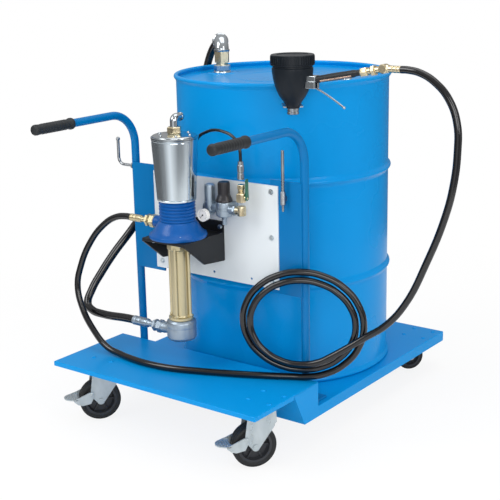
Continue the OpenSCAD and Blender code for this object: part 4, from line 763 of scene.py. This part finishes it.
for name, x, inner_x, side in (("left", left_column_x, panel_low.x + strap_lap, grip_bore),
                               ("right", right_column_x, panel_high.x - strap_lap, -grip_bore)):
    line = [(x, column_y, floor_high.z), (x, column_y, handle_z - bend_r)]
    line += [(x, column_y - bend_r * out, handle_z - bend_r + bend_r * up) for up, out in quarter(16, 1)]
    line += [(x, handle_end, handle_z)]
    shapes = [
        (rod(line, grip_bore, 40), here),
        (block((x - 30 * mm, beam_high.y, floor_high.z),
               (x + 30 * mm, beam_high.y + 60 * mm, floor_high.z + 6 * mm), 1.2 * mm), here),
        (turned(foot_weld, 40, True), at(x, column_y, floor_high.z + 6 * mm)),
        (block((min(x, inner_x), panel_high.y, strap_low),
               (max(x, inner_x), panel_high.y + strap_thick, strap_high), 1 * mm), here)]
    weld_x, weld_y = x + side * 0.75, column_y - grip_bore * 0.7
    for z in (strap_low + 12 * mm, (strap_low + strap_high) / 2 - 20 * mm, strap_high - 52 * mm):
        shapes.append(bead((weld_x, weld_y, z), (weld_x, weld_y, z + 40 * mm), 2 * mm, 16))
    piece(name + "_handle_tube", shapes, shade_darkened_handle_coat, [name + "_column"])

grip_profile = sized([(0, 0), (9, 0), (11.5, 1.2), (13, 4), (13.375, 9), (12.75, 15), (12.5, 20)])
ribs = 9
pitch = 0.66 / ribs
for i in range(ribs):
    grip_profile += sized([(12.5, 0), (13.1875, 0.18), (13.1875, 0.62), (12.5, 0.8)],
                          tall=grip_long * pitch, up=grip_long * (0.19 + pitch * i))
grip_profile += sized([(12.5, 0.89), (14.5, 0.93), (14.75, 0.955), (14.5, 0.985), (13.75, 1), (10.29, 1)],
                      tall=grip_long)
piece("rubber_grips", [(turned(grip_profile, 48), at(x, grip_low.y, handle_z) @ backward)
                       for x in (left_column_x, right_column_x)], grip_rubber, ["grips"])

# The hook for a hose beside the left handle tube: bright steel rod, bent up into a ball
# end and fixed to the tube through a washer.
steel = surface("bright steel", (0.26, 0.28, 0.30), (0.40, 0.42, 0.44), (0.24, 0.38), 30, 300, 0.03, metal=1)


def ball(radius, steps):
    turns = [math.pi * i / steps for i in range(steps + 1)]
    return turned([(radius * math.sin(t), -radius * math.cos(t)) for t in turns], steps * 2)


hook_low, hook_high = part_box("hose_hook")
hook_ball = 5.6 * mm
hook_x = hook_low.x + hook_ball
hook_z = hook_low.z + 8 * mm
hook_bend = 18 * mm
hook_line = [(hook_high.x, column_y, hook_z), (hook_x + hook_bend, column_y, hook_z)]
hook_line += [(hook_x + hook_bend - hook_bend * out, column_y, hook_z + hook_bend * up) for out, up in quarter(8, 1)]
hook_line += [(hook_x, column_y, hook_high.z - hook_ball)]
washer = sized([(0, 0), (7.4, 0), (8, 0.8), (8, 3.2), (7.4, 4), (0, 4)])
piece("bent_hook", [(rod(hook_line, 4 * mm, 20), here), (ball(hook_ball, 12), at(*hook_line[-1])),
                    (turned(washer, 28), at(hook_high.x, column_y, hook_z) @ leftward)],
      steel, ["hose_hook"])

# The panel: satin aluminium sheet bolted to the straps. The bolts are zinc hexagon
# heads on washers, and the same bolts hold the pump's bracket and flange.
panel_satin = surface("satin aluminium", (0.70, 0.75, 0.78), (0.80, 0.84, 0.86), (0.34, 0.5), 5, 500, 0.02,
                      metal=0.12, stretch=(1, 1, 0.4))
dress(["panel"], panel_satin)
bolt_r = 3 * mm
panel_inset = 20 * mm
bolt_rows = (panel_low.z + panel_inset, (panel_low.z + panel_high.z) / 2, panel_high.z - panel_inset * 0.8)
bracket_low, bracket_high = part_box("pump_bracket")
bracket_front = bracket_high.y - 5 * mm
bracket_rows = [bracket_low.z + share * (bracket_high.z - bracket_low.z) for share in (0.15, 0.85)]
shelf_top = low("pump_casting").z
flange_top = shelf_top + 10 * mm
ring_r = 61 * mm


def on_pump(z, x=0, y=0):
    """A place beside the pump's axis."""
    return at(pump_axis.x + x, pump_axis.y + y, z)


def bolt_head():
    washer = bar(bolt_r * 2.3, 0.9 * mm, 28)
    head = hexagon(bolt_r * 1.85, bolt_r * 1.2)
    bmesh.ops.transform(head, matrix=at(0, 0, 0.8 * mm), verts=head.verts)
    both = bpy.data.meshes.new("bolt")
    head.to_mesh(both)
    washer.from_mesh(both)
    head.free()
    return washer


heads = [(x, panel_low.y, z) for x in (panel_low.x + panel_inset, panel_high.x - panel_inset) for z in bolt_rows]
heads += [(pump_axis.x + side * 60.2 * mm, bracket_front, z) for side in (-1, 1) for z in bracket_rows]
shapes = [(bolt_head(), at(*place) @ frontward @ spun(0.3 * i)) for i, place in enumerate(heads)]
for k, (x, y) in enumerate(ring(ring_r, 4, 0.5)):
    shapes += [(bolt_head(), on_pump(flange_top, x, y) @ spun(0.4 * k)),
               (bolt_head(), on_pump(flange_top - 18 * mm, x, y) @ toward((0, 0, -1)))]
piece("hexagon_bolts", shapes, zinc, ["panel_bolts"])

# The pump's bracket: a welded steel shelf with two cheeks in satin black paint, bolted
# to the panel by its back plate. The pump's flange is bolted down on the shelf.
black_paint = surface("satin black paint", (0.006, 0.007, 0.009), (0.014, 0.015, 0.018), (0.3, 0.46), 16, 300, 0.05,
                      gloss=0.3)
shelf_low = shelf_top - 8 * mm
cheek = [(bracket_front, bracket_low.z), (pump_axis.y + 15 * mm, bracket_low.z + 8 * mm), (bracket_low.y, shelf_low),
         (bracket_low.y, shelf_low + 2 * mm), (bracket_front, shelf_low + 2 * mm)]
piece("pump_shelf", [
    (block((bracket_low.x, bracket_front, bracket_low.z), bracket_high, 1.2 * mm), here),
    (block((bracket_low.x, bracket_low.y, shelf_low),
           (bracket_high.x, bracket_front + 1 * mm, shelf_top), 1.2 * mm), here),
    *[(plate(cheek, 5 * mm, 1 * mm), at(x, 0, 0) @ along) for x in (bracket_low.x, bracket_high.x - 5 * mm)],
], black_paint, ["pump_bracket"])

# The pump's upper end: a ribbed blue casting with its mounting flange, and on it the
# air motor, a polished cylinder under a rounded cap with a brass bush and elbow.
casting_blue = surface("blue casting paint", (0, 0.066, 0.28), (0.002, 0.105, 0.38), (0.24, 0.42), 24, 170, 0.25,
                       coat=0.1, gloss=0.25)
motor_bright = surface("polished cylinder", (0.56, 0.63, 0.68), (0.70, 0.77, 0.81), (0.12, 0.22), 30, 260, 0.02,
                       metal=1, stretch=(1, 1, 0.03))
casting_tall = high("pump_casting").z - shelf_top
profile = sized([(0, 0), (70, 0), (72.2, 0.8), (73, 3), (73, 8), (72, 10), (67.89, 12), (61.32, 18), (55.48, 27),
                 (50.6, 36), (46, 41.5)])
fins = 6
pitch = (casting_tall - 44 * mm) / fins
for i in range(fins):
    profile += sized([(42.78, 0), (45.77, 0.2), (45.77, 0.55), (42.78, 0.8)], tall=pitch, up=43 * mm + pitch * i)
profile += sized([(43.7, -0.8), (41.4, 0), (0, 0)], up=casting_tall)
port_z = middle("outlet_fitting").z
port_reach = 72 * mm
port = sized([(0, 0), (15, 0), (15.6, 1.5), (15.6, 8), (14.4, 10), (14.4, 22), (19, 32), (0, 38)])
boss = sized([(0, 0), (8.4, 0), (8.4, 9), (8, 9.8), (0, 9.8)])
piece("blue_casting", [(turned(profile, 96), on_pump(shelf_top)),
                       (turned(port, 40), on_pump(port_z, -port_reach) @ rightward),
                       *[(turned(boss, 24), on_pump(shelf_top, x, y)) for x, y in ring(ring_r, 4, 0.5)]],
      casting_blue, ["pump_casting"])

motor_low, motor_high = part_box("motor_cylinder")
motor_tall = motor_high.z - motor_low.z
profile = sized([(0, 0), (44.1, 0), (48.265, 1), (49, 3), (49.098, 5), (48.265, 6), (49.196, 7)])
profile += sized([(49 + 9 * t, t) for t in (0.15, 0.4, 0.7, 0.97)], tall=motor_tall - 13 * mm, up=7 * mm)
profile += sized([(57.13, -5), (58, -4), (58, -0.6), (56.26, 0), (0, 0)], up=motor_tall)
air_in_z = motor_low.z + 108 * mm
air_in_y = pump_axis.y + 78 * mm
piece("polished_cylinder", [
    (turned(profile, 96), on_pump(motor_low.z)),
    (rod([(pump_axis.x, pump_axis.y + 50 * mm, air_in_z), (pump_axis.x, air_in_y, air_in_z)], 5.4 * mm, 24), here),
    (hexagon(7.8 * mm, 15.6 * mm), at(pump_axis.x, air_in_y, air_in_z - 7.6 * mm)),
], motor_bright, ["motor_cylinder"])
cap_low, cap_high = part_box("motor_cap")
cap_tall = cap_high.z - cap_low.z
cap_r = (cap_high.x - cap_low.x) / 2
profile = [(0, 0), (cap_r * 0.985, 0), (cap_r, 0.8 * mm)]
profile += sized([(1, 0.34), (0.985, 0.38), (0.955, 0.4),
                  *[(0.955 - 0.16 * out, 0.42 + 0.36 * up) for up, out in quarter(8, 1)],
                  (0.6, 0.83), (0.4, 0.86), (0.3, 0.92), (0.28, 0.985), (0.26, 1), (0, 1)], cap_r, cap_tall)
screw = sized([(0, 0), (3.6, 0), (3.6, 2.2), (3, 3), (1.6, 3), (1.5, 1.4), (0, 1.4)])
piece("motor_top_cap", [(turned(profile, 96), on_pump(cap_low.z)),
                        *[(turned(screw, 20), on_pump(cap_low.z + cap_tall * 0.76, x, y))
                          for x, y in ring(cap_r * 0.7, 6, 0.25)]], chrome, ["motor_cap"])

bush_low, bush_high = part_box("exhaust_elbow")
turn_z = bush_low.z + 38 * mm
turn_r = 8 * mm
line = [(pump_axis.x, pump_axis.y, bush_low.z + 15 * mm), (pump_axis.x, pump_axis.y, turn_z - turn_r)]
line += [(pump_axis.x, pump_axis.y + turn_r * out, turn_z - turn_r + turn_r * up) for up, out in quarter(8, 1)]
line += [(pump_axis.x, bush_high.y - 4 * mm, turn_z)]
mouth = sized([(6.6, -6), (6.82, 0), (10.67, 0), (11, 0.6), (11, 5), (8.8, 5)])
piece("exhaust_bend", [(rod(line, 10.12 * mm, 32), here),
                       (turned(mouth, 32), at(pump_axis.x, bush_high.y, turn_z) @ frontward)],
      chrome, ["exhaust_elbow"])
piece("exhaust_bush", [(hexagon(18.7 * mm, 16 * mm), on_pump(bush_low.z))], brass)
dress(["air_piston", "pump_rod", "foot_ball"], steel)

# The pump tube: yellow zinc-plated tube between two collars, clamped by four tie
# rods, standing on a grey alloy foot valve with the suction inlet at its side.
yellow_zinc = surface("yellow zinc", (0.48, 0.41, 0.24), (0.63, 0.56, 0.37), (0.26, 0.42), 18, 300, 0.04,
                      metal=0.85, stretch=(1, 1, 0.4))
alloy = surface("cast alloy", (0.27, 0.33, 0.39), (0.39, 0.46, 0.53), (0.34, 0.5), 24, 260, 0.18, metal=0.9)
barrel_low, barrel_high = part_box("pump_barrel")
barrel_tall = barrel_high.z - barrel_low.z
barrel_place = on_pump(barrel_low.z)
barrel = sized([(0, 0), (30, 0), (31.6, 1), (31.6, 7), (30, 8), (24.2, 8.6), (22, 12)])
barrel += sized([(22, -38), (23.32, -37), (23.32, -34), (0, -34)], up=barrel_tall)
shapes = [(turned(barrel), barrel_place),
          (hexagon(29.6 * mm, 25 * mm, 8), barrel_place @ at(0, 0, barrel_tall - 33.6 * mm)),
          (bar(24.6 * mm, 8.3 * mm, 48), barrel_place @ at(0, 0, barrel_tall - 8.4 * mm))]
for x, y in ring(25.4 * mm, 4, 1 / 6):
    shapes += [(bar(4.5 * mm, barrel_tall - 30 * mm, 20), barrel_place @ at(x, y, 4 * mm)),
               (hexagon(6.4 * mm, 6 * mm), barrel_place @ at(x, y, 8 * mm))]
piece("plated_barrel", shapes, yellow_zinc, ["pump_barrel"])

foot_low, foot_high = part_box("foot_valve")
profile = sized([(0, 0), (30.4, 0), (34.2, 1.4), (36.86, 5), (38, 9)])
profile += sized([(38, 0.55), (37.43, 0.58), (37.43, 0.62), (38, 0.65), (38, 0.84), (36.48, 0.92), (32.68, 0.985),
                  (30.4, 1), (0, 1)], tall=foot_high.z - foot_low.z)
stub = 64 * mm
inlet_port = sized([(0, 0), (14.6, 0), (15, 1), (15, 9), (14, 10.6), (14, 22), (17, 32), (0, 36)])
piece("alloy_foot", [(turned(profile, 80), on_pump(foot_low.z)),
                     (turned(inlet_port, 40), on_pump(middle("inlet_fitting").z, -stub) @ rightward)],
      alloy, ["foot_valve"])


def union(name, node, hose_r, lengths, finish):
    """A plated hose union: hexagon nut, threads, a round tail and a crimped ferrule."""
    end, z = high(node).x, middle(node).z
    nut, tail, sleeve = lengths

    def back(distance, way=leftward):
        return at(end - distance, pump_axis.y, z) @ way

    piece(name, [
        (hexagon(17.6 * mm, nut * 0.52), back(0)),
        (turned(threads(13.6 * mm, nut * 0.5), 36), back(nut * 0.5)),
        (hexagon(16 * mm, nut * 0.3), back(nut * 0.72)),
        (turned(sized([(0, 0), (0.8, 0), (0.74, 0.2), (0.74, 0.8), (0.9, 1), (0, 1)], hose_r, tail), 32), back(nut)),
        (crimp(hose_r, sleeve), back(nut + tail + sleeve, rightward)),
    ], finish, [node])


union("suction_union", "inlet_fitting", suction_wide / 2, (28 * mm, 22 * mm, 51 * mm), alloy)
union("delivery_union", "outlet_fitting", hose_wide / 2, (30 * mm, 18 * mm, 38 * mm), yellow_zinc)

# The air unit: a die-cast regulator bolted to the panel, with a filter dome, a ribbed
# black knob, a white gauge, a brass ball valve with a green lever and a coupling.
knob_black = surface("knob plastic", (0.010, 0.009, 0.012), (0.022, 0.020, 0.024), (0.32, 0.48), 30, 500, 0.06)
knob_low, knob_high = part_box("regulator_knob")
reg_x, air_y, air_z = pivots["pressure_set"]
valve_x, _, lever_z = pivots["air_valve_turn"]
dial_x, _, dial_z = pivots["gauge_sweep"]
filter_x = reg_x - 45 * mm
filter_r = 15 * mm
body_half = 20.16 * mm
gauge_low, gauge_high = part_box("gauge")
stub_low = low("regulator").z


def on_air(x, z):
    """A place on the middle plane of the air unit."""
    return at(x, air_y, z)


cast = sized([(0, -19), (17.22, -19), (20.16, -17), (21, -14), (21, -4), (19.74, -3), (19.74, 3), (21, 4), (21, 15),
              (19.53, 18), (18.06, 19), (0, 19)])
dome = sized([(0, -15), (12, -15), (15, -12.6), (15, 14), (13.5, 15), (13.5, 51), (12.6, 56), (9, 59), (0, 60)])
piece("cast_regulator", [
    (turned(cast, 56), on_air(reg_x, air_z)),
    (turned(dome, 40), on_air(filter_x, air_z)),
    (rod([(filter_x - filter_r, air_y, air_z), (valve_x - filter_r, air_y, air_z)], 11.34 * mm, 32), here),
    (hexagon(13.86 * mm, 6 * mm), on_air(valve_x - filter_r - 7 * mm, air_z) @ rightward),
    (block((reg_x - body_half, air_y, air_z - filter_r), (reg_x + body_half, panel_low.y, air_z + filter_r),
           1.4 * mm), here),
    (turned(threads(5.9 * mm, 22 * mm, 1.6 * mm), 28), on_air(reg_x, stub_low)),
    (hexagon(9 * mm, 5 * mm), on_air(reg_x, stub_low + 17 * mm)),
    (rod([(dial_x, gauge_high.y, dial_z), (dial_x, air_y, dial_z)], 5.8 * mm, 24), here),
], alloy, ["regulator"])
knob_tall = 50 * mm
knob_place = on_air(reg_x, knob_high.z - knob_tall)
profile = sized([(0, 0), (21.4, 0), (21.4, 2.4), (20.33, 5.4), (16.8, 13), (15, 17), (14.4, 17.4), (14.4, 47),
                 (12.9, 49.4), (10.5, 50), (0, 50)])
piece("pressure_knob_cap", [
    (turned(profile, 56), knob_place), (bar(5 * mm, 12 * mm), on_air(reg_x, knob_low.z)),
    *[(block((13.5 * mm, -1.5 * mm, 18 * mm), (15.3 * mm, 1.5 * mm, 46 * mm), 0.6 * mm),
       knob_place @ spun(math.tau * k / 16)) for k in range(16)],
], knob_black, ["regulator_knob"], "pressure_knob")

dial_white = surface("dial white", (0.80, 0.79, 0.75), (0.86, 0.85, 0.82), (0.3, 0.4), 10, relief=0.01, coat=0.4)
dial_black = surface("dial black", (0.01, 0.01, 0.01), (0.02, 0.02, 0.02), (0.4, 0.5), 20)
gauge_place = at(dial_x, gauge_low.y, dial_z) @ backward
case = sized([(13.76, 1.6), (14.4, 0), (15.68, 0), (16, 1), (16, 3), (15.2, 4), (15.2, 12), (12.8, 14), (0, 14)])
piece("gauge_case", [(turned(case, 56), gauge_place)], dial_white, ["gauge"])
piece("gauge_dial", [(turned(sized([(0, 2), (13.92, 2)]), 48), gauge_place)], dial_white)
piece("gauge_ticks", [(block((9.92 * mm, -0.35 * mm, 0), (12.8 * mm, 0.35 * mm, 0.25 * mm)),
                       gauge_place @ at(0, 0, 1.8 * mm) @ spun(math.radians(-45 + 27 * k))) for k in range(11)],
      dial_black)
needle_low, needle_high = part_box("gauge_needle")
needle_way = Vector((needle_high.x + needle_low.x - 2 * dial_x, 0,
                     needle_high.z + needle_low.z - 2 * dial_z)).normalized()
needle_front = Vector((dial_x, gauge_low.y + 1.1 * mm, dial_z))
needle_cap = sized([(0, 0), (2.3, 0), (2.2, 0.7), (0, 0.9)])
piece("gauge_pointer_blade", [
    (rod([needle_front + needle_way * s * mm for s in (-3, 6, 11.6)], 0.45 * mm, 8), here),
    (turned(needle_cap, 20), Matrix.Translation(needle_front) @ at(0, 0.7 * mm, 0) @ frontward),
], dial_black, ["gauge_needle"], "gauge_pointer")

valve_low, valve_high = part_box("air_valve")
valve_foot = sized([(0, 0), (9.9, 0), (11, 1), (11, 20), (9.9, 24), (0, 24)])
stem = sized([(0, 0), (6, 0), (6, 4.4), (3, 4.8), (3, 8), (0, 8)])
piece("brass_valve", [
    (rod([(valve_x - filter_r, air_y, air_z), (valve_x, air_y, air_z)], 10.4 * mm, 28), here),
    (turned(valve_foot, 40), on_air(valve_x, valve_low.z)),
    (hexagon(13.4 * mm, 22 * mm), on_air(valve_x, lever_z - 11 * mm)),
    (turned(threads(8.4 * mm, 12 * mm, 1.5 * mm), 28), on_air(valve_x, lever_z + 10.6 * mm)),
    (hexagon(10.4 * mm, 11 * mm), on_air(valve_x, lever_z + 22 * mm)),
    (turned(stem, 24), on_air(valve_x + 11 * mm, lever_z) @ rightward),
], brass, ["air_valve"])
coupling = sized([(0, 0), (8.4, 0), (8.8, 1), (8.8, 14), (7.8, 15), (7.8, 18), (8.8, 19), (8.8, 34), (8, 36),
                  (0, 36)])
tail = valve_high.z - air_z - 116 * mm
piece("air_coupling", [
    (turned(coupling, 36), on_air(valve_x, air_z + 80 * mm)),
    (turned([(0, 0), (7.6 * mm, 0), (7.2 * mm, tail), (0, tail)], 28), on_air(valve_x, air_z + 116 * mm)),
], chrome)
green_coat = surface("green dipped handle", (0.004, 0.090, 0.050), (0.010, 0.130, 0.075), (0.25, 0.4), 30, 300, 0.04,
                     coat=0.3)
lever_low, lever_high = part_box("valve_lever")
lever_outline = (arc(0, 0, 6 * mm, 180, 360, 10) + [(5 * mm, 14 * mm)] + arc(0, 44 * mm, 4.8 * mm, 0, 180)
                 + [(-5 * mm, 14 * mm)])
piece("green_lever", [(plate(lever_outline, lever_high.x - lever_low.x, 1.1 * mm, 3),
                       on_air(lever_low.x, lever_z) @ along)],
      green_coat, ["valve_lever"], "valve_handle")
air_wide = 8 * mm
air_arch = 64 * mm
air_shares = [(0.013, 0.344), (0.093, 0.625), (0.238, 0.813), (0.437, 0.953), (0.636, 0.938), (0.848, 0.781),
              (0.967, 0.484)]
air_first = Vector((pump_axis.x, air_in_y, air_in_z + 8 * mm))
air_last = Vector((valve_x, air_y, valve_high.z))
air_route = []
for along_air, up_air in air_shares:
    over = air_first.lerp(air_last, along_air)
    air_route.append((over.x, over.y, (air_first.z + air_last.z) / 2 + up_air * air_arch))
upward = Vector((0, 0, 1))
tube("air_lead", laid(air_first, upward, air_route, air_last, upward, air_wide), air_wide, 4, ["air_hose"])

# The spare spout: a thin bright steel tube with a knurled nut near its lower end, held
# upright in a small clip on the strap.
spout_low, spout_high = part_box("spare_spout")
spout_x = (spout_low.x + spout_high.x) / 2
spout_y = spout_low.y + 6.4 * mm
profile = sized([(0, 0), (2.4, 0), (3, 1.4), (3.2, 14), (5.4, 16)])
for i in range(9):
    profile += sized([(5.9, 0), (6.4, 1), (6.4, 2.2), (5.9, 3.2)], up=(17 + 3.4 * i) * mm)
profile += sized([(4, 50)]) + sized([(4, -1), (3.2, 0), (0, 0)], up=spout_high.z - spout_low.z)
piece("spare_spout_tube", [
    (turned(profile, 32), at(spout_x, spout_y, spout_low.z)),
    (block((spout_x - 4 * mm, spout_y, spout_low.z + 24 * mm),
           (spout_x + 4 * mm, spout_high.y, spout_low.z + 36 * mm), 0.8 * mm), here),
], steel, ["spare_spout"])

# The gun: a black bell with a ribbed cap and a bright tip, hung on a strip hook over
# the drum's rim. Its body, handle and wire lever reach out to the brass swivel.
bell_black = surface("bell plastic", (0.004, 0.007, 0.011), (0.010, 0.014, 0.020), (0.28, 0.46), 16, 220, 0.1,
                     gloss=0.22)
gun_handle = surface("gun handle sleeve", (0.009, 0.010, 0.012), (0.022, 0.023, 0.026), (0.4, 0.55), 30, 500, 0.12,
                     gloss=0.35)
copper = surface("worn copper strip", (0.42, 0.27, 0.20), (0.56, 0.40, 0.32), (0.3, 0.44), 40, relief=0.05, metal=0.8)
bell_low, bell_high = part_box("gun_bell")
bell_x, bell_y = middle("gun_bell").x, middle("gun_bell").y
cap_tall = 26 * mm
bell_tall = bell_high.z - bell_low.z - cap_tall
bell_r = 50.5 * mm
profile = sized([(0, 0), (15.36, 0), (16, 0.8), (16, 5.1)])
profile += sized([(0.37, 0.09), (0.44, 0.15), (0.53, 0.21), (0.62, 0.27), (0.70, 0.34), (0.76, 0.41), (0.85, 0.53),
                  (0.92, 0.67), (0.965, 0.80), (0.985, 0.88), (0.985, 0.945), (0.95, 0.96), (0.95, 1), (0, 1)],
                 bell_r, bell_tall)
cap_place = at(bell_x, bell_y, bell_low.z + bell_tall)
cap_profile = sized([(0, 0), (50.825, 0), (52.6975, 1.2), (52.6975, 3.4), (51.6275, 4), (51.6275, 22),
                     (52.6975, 22.6), (52.6975, 24.4), (50.825, 26), (38.52, 26), (37.45, 24.4), (10.7, 24.2),
                     (0, 24.2)])
piece("black_bell", [
    (turned(profile, 80), at(bell_x, bell_y, bell_low.z)), (turned(cap_profile, 96), cap_place),
    *[(block((50.825 * mm, -1.25 * mm, 4 * mm), (53.3395 * mm, 1.25 * mm, 22 * mm), 0.5 * mm, 1),
       cap_place @ spun(math.tau * k / 48)) for k in range(48)],
], bell_black, ["gun_bell"])

body_z = rim_z + 20 * mm
grip_start = Vector((bell_x + 71 * mm, gun_y, body_z))
swivel_x = bell_x + 190 * mm
ferrule_x = gun_last.x - 43 * mm
rise = (gun_last.z - body_z) / (ferrule_x - grip_start.x)
along_gun = Vector((1, 0, rise)).normalized()
grip_end = grip_start + Vector((swivel_x - grip_start.x, 0, (swivel_x - grip_start.x) * rise))
tip = sized([(8, 0), (13.68, 0), (15.2, 1.2), (15.2, 6), (14.288, 7), (14.288, 9), (15.2, 10), (15.2, 15), (8, 15)])
piece("gun_block", [
    (turned(tip, 48, True), at(bell_x, bell_y, low("gun_body").z)),
    (block((bell_x + 44 * mm, gun_y - 11.6 * mm, body_z - 6 * mm),
           (grip_start.x, gun_y + 11.6 * mm, body_z + 9 * mm), 2.6 * mm, 3), here),
    *[(block((bell_x + 42 * mm, gun_y + near * mm, body_z - 22 * mm),
             (grip_start.x - 2 * mm, gun_y + far * mm, body_z - 4 * mm), 1.8 * mm, 3), here)
      for near, far in ((-11.6, -4.4), (4.4, 11.6))],
], chrome, ["gun_body"])
sleeve = sized([(0, -2), (9, -2), (9, 4), (8.1, 7), (8.64, 30), (9, 55), (8.46, 80), (8.82, 100), (7.2, 108)])
sleeve += sized([(7.02, 0), (0, 0)], up=(grip_end - grip_start).length)
piece("gun_handle_sleeve", [(turned(sleeve, 40), Matrix.Translation(grip_start) @ toward(along_gun))],
      gun_handle)
stripe = [grip_start + along_gun * s * mm + Vector((0, -5.94 * mm, -4.68 * mm)) for s in (12, 50, 98)]
piece("gun_handle_strip", [(rod(stripe, 2.6 * mm, 14), here)], copper)

lever_pin = Vector(pivots["gun_squeeze"])
reach = Vector((90 * mm, 0, -46 * mm))
lever_line = [lever_pin + reach * t + upward * 3 * mm * math.sin(math.pi * t) for t in (i / 16 for i in range(17))]
eye_ring = sized([(0, 0), (4.4, 0), (5, 0.8), (5, 6), (0, 6.8)])
piece("wire_lever", [
    (rod(lever_line, 2.2 * mm, 16), here), (ball(3.5 * mm, 10), Matrix.Translation(lever_line[-1])),
    (bar(2.5 * mm, 24 * mm, 20), at(lever_pin.x, gun_y + 12 * mm, lever_pin.z) @ frontward),
    (turned(eye_ring, 24), at(lever_pin.x, gun_y + 3.4 * mm, lever_pin.z) @ frontward),
], chrome, ["gun_trigger"], "gun_lever")

swivel_place = Matrix.Translation(grip_end) @ toward(along_gun)
fitting = sized([(0, 16), (7.92, 16), (7.92, 24), (9.35, 25), (9.35, 27), (7.92, 28)])
fitting += sized([(7.92, 0), (0, 0)], up=(Vector((ferrule_x, gun_y, gun_last.z)) - grip_end).length)
knuckle = sized([(0, -10.4), (8.8, -10.4), (10.78, -8.6), (10.78, 8.6), (8.8, 10.4), (0, 10.4)])
piece("brass_swivel", [
    (hexagon(11 * mm, 17.6 * mm), swivel_place),
    (turned(fitting, 32), swivel_place),
    (hexagon(12.54 * mm, 10 * mm), swivel_place @ at(0, 0, 29 * mm)),
    (turned(knuckle, 36), at(ferrule_x, gun_y, gun_last.z) @ backward),
    (hexagon(9.9 * mm, 9 * mm), at(ferrule_x + 4 * mm, gun_y, gun_last.z) @ rightward),
    (crimp(hose_wide / 2 * 0.86, 34 * mm), Matrix.Translation(gun_last) @ leftward),
], brass, ["gun_swivel"])

dress(["rim_hook"], steel)
